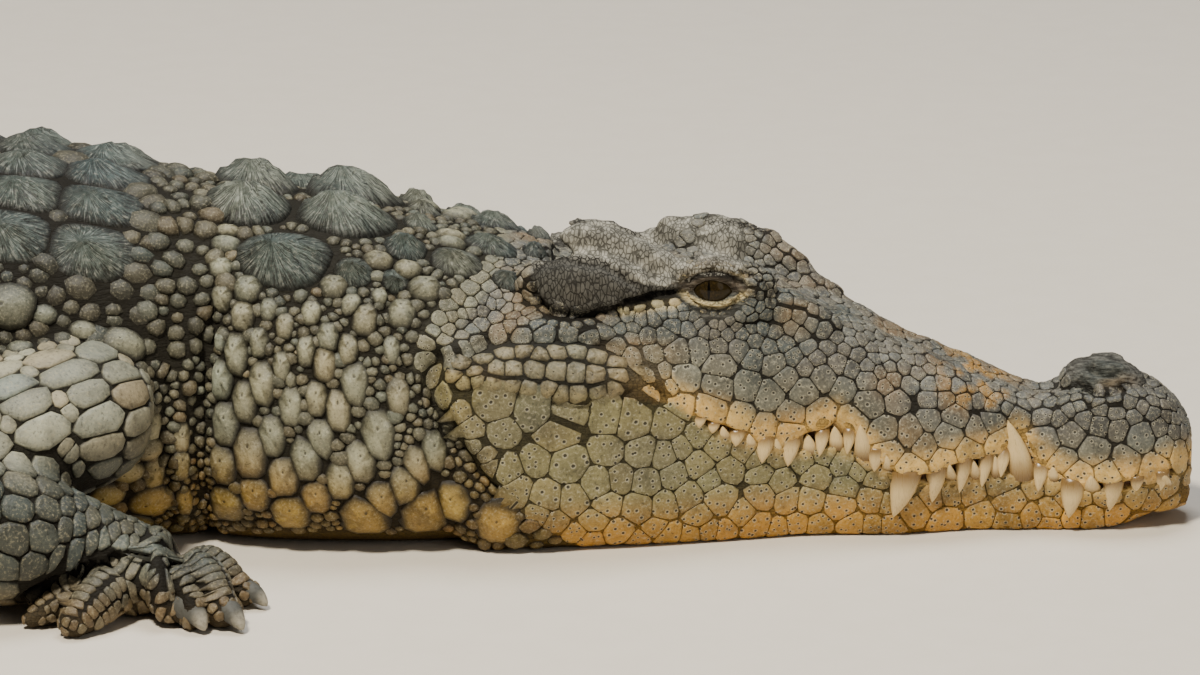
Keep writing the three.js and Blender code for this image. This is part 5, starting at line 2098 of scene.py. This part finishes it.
def toe_seeds(surface, stations, pitch, offset):
    """Bands across a toe: a broad scale on top and one down each side, for every step along it."""
    thick = stations[0][3]
    count = max(int(round(limb_length(stations, 0.0, 1.0) / pitch)), 3)
    t = np.repeat((np.arange(count) + 0.5) / count, 5)
    angle = np.pi / 2 + np.radians(np.tile((0, -58, 58, -100, 100), count))
    place, ahead = limb_frames(stations, t, angle)
    out = unit(place - limb_point(stations, t, angle + np.pi))
    on_skin, normals = surface.nearest(place + out * 3)
    shows = (lengths(on_skin - place) < 9) & (dot(normals, out) > 0.25)
    half = columns(pitch * 0.60, np.tile((0.72, 0.44, 0.44, 0.38, 0.38), count) * thick)
    chart = columns(offset + t, angle)
    return Seeds(on_skin, ahead, half, 1.9, chart, cap=1.5).only(shows)


def leg_seeds(surface, trunk, leg, end, rng):
    """A leg's scales: long plates above, bands on the wrist and toes, small scales between."""
    fore = end == "fore"
    groups = [
        toe_seeds(surface, toe_stations(knuckle, tip, thick), 7.4, 3.2 + 1.1 * number)
        for number, (knuckle, tip, thick, _) in enumerate(leg["digits"])
    ] + [
        limb_seeds(surface, leg["palm"], 0.0, 0.86, 10, 21, 2.2, rng, 2.0, 1.5),
        limb_seeds(surface, leg["lower"], 0.70, 1.0, 11, 24, 2.6, rng, 1.75, 1.5),
        limb_seeds(surface, leg["lower"], 0.04, 0.70, 22, 25, 3.2, rng, 1.0, 1.5),
        limb_seeds(surface, leg["upper"], 0.18, 0.98, 34 if fore else 36, 24, 3.0, rng, 0.0, 1.32),
    ]
    rows = thinned(joined_seeds(*groups), 0.66)
    rows = rows.only(trunk_gap(trunk, surface.nearest(rows.places)[0]) > 16)
    stations = np.array([station[:3] for part in ("upper", "lower", "palm") for station in leg[part]])
    low, high = stations.min(axis=0) - 90, stations.max(axis=0) + 90

    def on_leg(places, normals):
        inside = ((places > low) & (places < high)).all(axis=1)
        inside &= (places[:, 2] > 2.5) & (normals[:, 2] > -0.45)
        inside[inside] = on_limbs(trunk, places[inside], 9)
        return inside

    spots, sizes = scattered(
        surface, lambda p: mix(8.0, 14.0, fade(20, 60, p[:, 2])), on_leg, seed=71, rounds=3, tries=7,
        avoid=rows, margin=0.90,
    )
    half = columns(sizes, sizes) * 0.5
    chart = columns(8.5 + (spots[:, 0] - low[0]) / 150, spots[:, 1] / 60)
    return joined_seeds(rows, Seeds(spots, AHEAD, half, 1.8, chart, cap=1.25))


def trunk_tree():
    """The trunk's own surface as a cloud of places, without the legs."""
    x = np.arange(TRUNK_BACK, NECK_END, 8.0)[:, None]
    return place_tree(body_point(x, np.linspace(0, 2 * np.pi, 110)[None], 5.0).reshape(-1, 3))


def trunk_gap(tree, places):
    """How far each place lies from the trunk's own surface."""
    return np.array([tree.find(place)[2] for place in places])


def on_limbs(tree, places, margin):
    """Whether places lie on the legs; by the neck, only well clear of its creases."""
    return trunk_gap(tree, places) > np.where(places[:, 0] < 525, margin, 24)


def flat_grains(surface, inside, size, avoid, seed, height, margin):
    """Small grains that fill the soft skin between larger scales, larger on the shoulder and throat."""

    def size_at(places):
        x, z = places[:, 0], places[:, 2]
        shoulder = fade(110, 170, z) * fade(570, 548, x) * fade(400, 440, x)
        throat = fade(740, 770, x) * fade(60, 40, z)
        return size * (1 + 0.6 * np.maximum(shoulder, throat)) * (1 + 0.22 * wander(places, 37.0))

    spots, sizes = scattered(
        surface, size_at, inside, spacing=0.80, seed=seed, rounds=2, tries=6, avoid=avoid, margin=margin,
    )
    rng = np.random.default_rng(seed)
    grow = np.clip(1 + 0.24 * rng.normal(size=len(spots)), 0.6, 1.5)
    half = columns(sizes, sizes * 0.86) * 0.70 * grow[:, None]
    return Seeds(spots, AHEAD, half, height * grow * sizes / size, body_chart(spots), cap=1.12)


# ---- operators


class CROC_OT_stage(bpy.types.Operator):
    """Sets the floor, the soft lights and the camera"""

    bl_idname = "crocodile.stage"
    bl_label = "Stage"

    def execute(self, context):
        colours, _ = settings()
        bm = bmesh.new()
        bmesh.ops.create_grid(bm, x_segments=1, y_segments=1, size=40)
        mesh = finished_mesh(bm, "floor")
        set_places(mesh, get_places(mesh) + (0, 0, FLOOR - 0.4))
        floor = new_object("floor", mesh)
        mesh.materials.append(floor_material(colours))
        place_camera(context.scene)
        place_lights(context.scene)
        return {"FINISHED"}


CAMERA_AIM = (842, -64, 156)
CAMERA_DISTANCE, CAMERA_AZIMUTH, CAMERA_ELEVATION = 5000, 3, 16
LENS, SENSOR = 195, 36


def place_camera(scene):
    data = bpy.data.cameras.new("camera")
    data.lens, data.sensor_width = LENS, SENSOR
    data.clip_end = 100
    camera = bpy.data.objects.new("camera", data)
    azimuth, elevation = math.radians(CAMERA_AZIMUTH), math.radians(CAMERA_ELEVATION)
    back = Vector((
        math.sin(azimuth) * math.cos(elevation), -math.cos(azimuth) * math.cos(elevation), math.sin(elevation)
    ))
    camera.location = (Vector(CAMERA_AIM) + back * CAMERA_DISTANCE) * MM
    camera.rotation_mode = "QUATERNION"
    camera.rotation_quaternion = (-back).to_track_quat("-Z", "Y")
    scene.collection.objects.link(camera)
    scene.camera = camera


def place_lights(scene):
    """A broad soft key from the front left, a wide sky above and a low fill."""
    for name, at, aim, size, power, tint in (
        ("key", (-0.5, -2.5, 4.9), (0.7, 0, 0.1), 0.9, 450, (1.0, 0.93, 0.80)),
        ("sky", (1.0, 1.2, 4.7), (0.6, 0, 0.1), 2.4, 165, (0.93, 0.96, 1.0)),
        ("fill", (3.6, -3.0, 1.6), (0.8, 0, 0.1), 3.0, 26, (1.0, 0.95, 0.88)),
    ):
        data = bpy.data.lights.new(name, "AREA")
        data.shape, data.size, data.energy, data.color = "DISK", size, power, tint
        light = bpy.data.objects.new(name, data)
        light.location = at
        light.rotation_mode = "QUATERNION"
        light.rotation_quaternion = (Vector(aim) - Vector(at)).to_track_quat("-Z", "Y")
        scene.collection.objects.link(light)
    world = bpy.data.worlds.new("world")
    world.use_nodes = True
    background = world.node_tree.nodes["Background"]
    background.inputs["Color"].default_value = (0.86, 0.88, 0.92, 1)
    background.inputs["Strength"].default_value = 0.10
    scene.world = world


class CROC_OT_skin(bpy.types.Operator):
    """Builds the one skin that lies over all the flesh"""

    bl_idname = "crocodile.skin"
    bl_label = "Skin"

    def execute(self, context):
        colours, sizes = settings()
        mesh = build_skin(sizes)
        places = get_places(mesh)
        tone = markings(places, colours)
        legs = (places[:, 0] < 625) & (places[:, 0] > -560)
        legs[legs] = on_limbs(trunk_tree(), places[legs], 10)
        tone[legs] = leg_markings(places[legs], colours)
        bare = bare_skin(places)[:, None]
        # Painted shade: the skin between the scales is darkened towards the near-black colour, little on the
        # lips and jaw, most on the body; bare skin keeps its own tone.
        crevice = np.array(colours.crevice)
        dark = crack_shade(places)[:, None]
        set_colours(mesh, "tone", mix(mix(tone, crevice, dark), tone, bare))
        set_values(mesh, "bare", bare[:, 0])
        brow = (eye_distance(places) < 40) & ((places[:, 2] > EYE_LEVEL + 14) | (np.abs(places[:, 1]) < 46))
        worn = on_skull_table(places) | brow
        set_values(mesh, "worn", 1.0 * worn)
        set_values(mesh, "upright", 1.0 * (worn | on_ear_flap(*head_place(places))))
        add_piece("skin", mesh, skin_material(colours), "hide", *FLESH)
        return {"FINISHED"}


class CROC_OT_head_scales(bpy.types.Operator):
    """Covers the head with thin plates, fold scales and lid beads"""

    bl_idname = "crocodile.head_scales"
    bl_label = "Head scales"

    def execute(self, context):
        colours, _ = settings()
        surface = Surface()
        plates = scale_material("head_plates", colours, dots=0.9, grain=420, edge=0.8, band=0.12, wear=0.4,
                                own_tone_in_rim_shade=0.85)
        make_scales("head_plates", head_seeds(surface), surface, colours, markings, PLATE, 16,
                    gap=0.04, roundness=18, rough=0.12, tint=0.10, material=plates)
        folds = scale_material("fold_scales", colours, pit=0.9, grain=520, edge=0.8, wear=0.3, crown=0.3,
                               pale="cdb98a")
        make_scales("fold_scales", fold_seeds(surface), surface, colours, fold_paint, OVAL, 14,
                    gap=0.3, roundness=11, fill=1.06, rough=0.05, tint=0.08, material=folds)
        beads = scale_material("lid_beads", colours, grain=700, edge=0.5, wear=0.5, pale="d8c58c")
        make_scales("lid_beads", lid_seeds(surface), surface, colours, markings, OVAL, 8,
                    gap=0.1, roundness=6, tolerance=9, material=beads)
        return {"FINISHED"}


def on_neck(places, normals):
    """Whether the neck's scales may grow at a place."""
    d, level, _ = head_place(places)
    return (d > head_edge(level) + 1) & (places[:, 0] > 470) & (level > 4) & (normals[:, 2] > -0.7)


class CROC_OT_neck_scales(bpy.types.Operator):
    """Covers the neck with ovals, the nape with large plates, and fills between them with grains"""

    bl_idname = "crocodile.neck_scales"
    bl_label = "Neck scales"

    def execute(self, context):
        colours, _ = settings()
        surface = Surface()
        plates, points = nape_seeds(surface, NAPE_PLATES), nape_seeds(surface, NAPE_POINTS)
        large = joined_seeds(plates, points)
        ovals = thinned(neck_seeds(), 0.5)
        d, level, _ = head_place(ovals.places)
        ovals = ovals.only((level > 70) | (d > head_edge(level) + 16))
        upright = np.ones((len(ovals), 3))
        ovals = ovals.only(clear_of(ovals.places, large, 1.16) & on_neck(ovals.places, upright))
        nape = scale_material("nape_plates", colours, rays=1.0, grain=300, edge=0.92, band=0.50, wear=0.24,
                              crown=0.85, pale="cfccbd")
        make_scales("nape_plates", large, surface, colours, slate_paint, SCUTE, 30,
                    gap=0.3, roundness=7, peak=0.25, rough=0.05, tint=0.08, material=nape, tolerance=25)
        oval = scale_material("neck_ovals", colours, pit=0.7, grain=480, edge=0.97, band=0.60, wear=0.28,
                              crown=0.7, pale="d4cdae")
        make_scales("neck_ovals", ovals, surface, colours, oval_paint, DOME, 14,
                    gap=0.4, roundness=6, fill=1.24, rough=0.04, tint=0.12, material=oval, tolerance=27)
        grain = scale_material("grains", colours, grain=520, edge=0.9, band=0.34, wear=0.3, crown=0.35)
        trunk = trunk_tree()

        def here(places, normals):
            inside = on_neck(places, normals) & (places[:, 0] > 500)
            inside[inside] = (trunk_gap(trunk, places[inside]) < 14) | (places[inside, 0] > 700)
            return inside

        grains = flat_grains(surface, here, 8.0, joined_seeds(large, ovals), 41, 2.8, margin=0.98)
        make_scales("neck_grains", grains, surface, colours, grain_paint, OVAL, 8,
                    gap=0.2, roundness=6, fill=1.12, tint=0.20, material=grain)
        return {"FINISHED"}


class CROC_OT_back_scales(bpy.types.Operator):
    """Covers the back, flanks and tail"""

    bl_idname = "crocodile.back_scales"
    bl_label = "Back and tail scales"

    def execute(self, context):
        colours, _ = settings()
        surface = Surface()
        shield = shield_seeds()
        trunk = trunk_tree()
        nape = bpy.data.materials["nape_plates"]
        oval = bpy.data.materials["neck_ovals"]
        make_scales("back_shield", shield, surface, colours, slate_paint, SCUTE, 22,
                    gap=0.6, roundness=10, fill=1.06, peak=0.2, rough=0.05, tint=0.12, material=nape)
        for side, flank in ((-1, "right"), (1, "left")):
            ovals = flank_seeds(side)
            ovals = thinned(ovals.only(trunk_gap(trunk, surface.nearest(ovals.places)[0]) < 7), 0.5)
            make_scales("flank_ovals_" + flank, ovals, surface, colours, markings, OVAL, 12,
                        gap=0.6, roundness=7, fill=1.16, rough=0.04, tint=0.16, material=oval, tolerance=9)

            def here(places, normals, side=side):
                turned = (places[:, 1] - spine_sway(places[:, 0])) * side > 0
                inside = turned & (places[:, 0] < 500) & (places[:, 0] > TRUNK_BACK) & (places[:, 2] > 30)
                inside[inside] = trunk_gap(trunk, places[inside]) < 10
                return inside

            grains = flat_grains(surface, here, 10.5, joined_seeds(shield, ovals), 43 + side, 2.6, margin=1.0)
            make_scales("flank_grains_" + flank, grains, surface, colours, grain_paint, GRAIN, 7,
                        gap=0.3, roundness=6, fill=1.12, tint=0.20, material=bpy.data.materials["grains"])
        make_scales("tail_crest", crest_seeds(surface), surface, colours, grain_paint, SCUTE, 30,
                    gap=0.2, roundness=10, fill=1.5, peak=0.35, rough=0.02, tint=0.10, tolerance=30,
                    material=nape)
        make_scales("tail_rings", tail_seeds(), surface, colours, markings, OVAL, 12,
                    gap=0.6, roundness=13, rough=0.03, tint=0.12, material=oval)
        return {"FINISHED"}


class CROC_OT_leg_scales(bpy.types.Operator):
    """Covers the legs, feet and toes"""

    bl_idname = "crocodile.leg_scales"
    bl_label = "Leg scales"

    def execute(self, context):
        colours, _ = settings()
        surface = Surface()
        material = scale_material("leg_scales", colours, grain=420, edge=0.8, band=0.15, wear=0.4, crown=0.2,
                                  pale="b5ab8b")
        trunk = trunk_tree()
        for number, (end, flank, plan, side, shift, swing) in enumerate(LEGS):
            rng = np.random.default_rng(61 + number)
            seeds = leg_seeds(surface, trunk, placed(plan, side, shift, swing), end, rng)
            make_scales(f"{end}leg_scales_{flank}", seeds, surface, colours, leg_markings, PLATE, 12,
                        gap=0.15, roundness=15, fill=1.05, rough=0.08, tint=0.15, tolerance=9,
                        material=material)
        return {"FINISHED"}


class CROC_OT_teeth(bpy.types.Operator):
    """Builds the teeth that show outside the closed lips"""

    bl_idname = "crocodile.teeth"
    bl_label = "Teeth"

    def execute(self, context):
        build_teeth(settings()[0])
        return {"FINISHED"}


class CROC_OT_eyes(bpy.types.Operator):
    """Builds both eyeballs"""

    bl_idname = "crocodile.eyes"
    bl_label = "Eyes"

    def execute(self, context):
        for side in (-1, 1):
            build_eye(settings()[0], side)
        return {"FINISHED"}


class CROC_OT_claws(bpy.types.Operator):
    """Builds the claws of all four feet"""

    bl_idname = "crocodile.claws"
    bl_label = "Claws"

    def execute(self, context):
        build_claws(settings()[0])
        return {"FINISHED"}


OPERATORS = (
    CROC_OT_stage, CROC_OT_skin, CROC_OT_head_scales, CROC_OT_neck_scales, CROC_OT_back_scales,
    CROC_OT_leg_scales, CROC_OT_teeth, CROC_OT_eyes, CROC_OT_claws,
)


class CROC_PT_panel(bpy.types.Panel):
    """Lists the crocodile's sizes, colours and building steps"""

    bl_idname = "CROC_PT_panel"
    bl_label = "Crocodile"
    bl_space_type = "VIEW_3D"
    bl_region_type = "UI"
    bl_category = "Crocodile"

    def draw(self, context):
        for group in (context.scene.crocodile_skin, context.scene.crocodile_colours):
            box = self.layout.box()
            for name in group.__annotations__:
                box.prop(group, name)
        for operator in OPERATORS:
            self.layout.operator(operator.bl_idname)


CLASSES = (SkinSizes, Colours, *OPERATORS, CROC_PT_panel)


def register():
    for cls in CLASSES:
        bpy.utils.register_class(cls)
    bpy.types.Scene.crocodile_skin = PointerProperty(type=SkinSizes)
    bpy.types.Scene.crocodile_colours = PointerProperty(type=Colours)


def unregister():
    del bpy.types.Scene.crocodile_skin
    del bpy.types.Scene.crocodile_colours
    for cls in reversed(CLASSES):
        bpy.utils.unregister_class(cls)


def main():
    register()
    for operator in OPERATORS:
        getattr(bpy.ops.crocodile, operator.bl_idname.split(".")[1])()


if __name__ == "__main__":
    main()
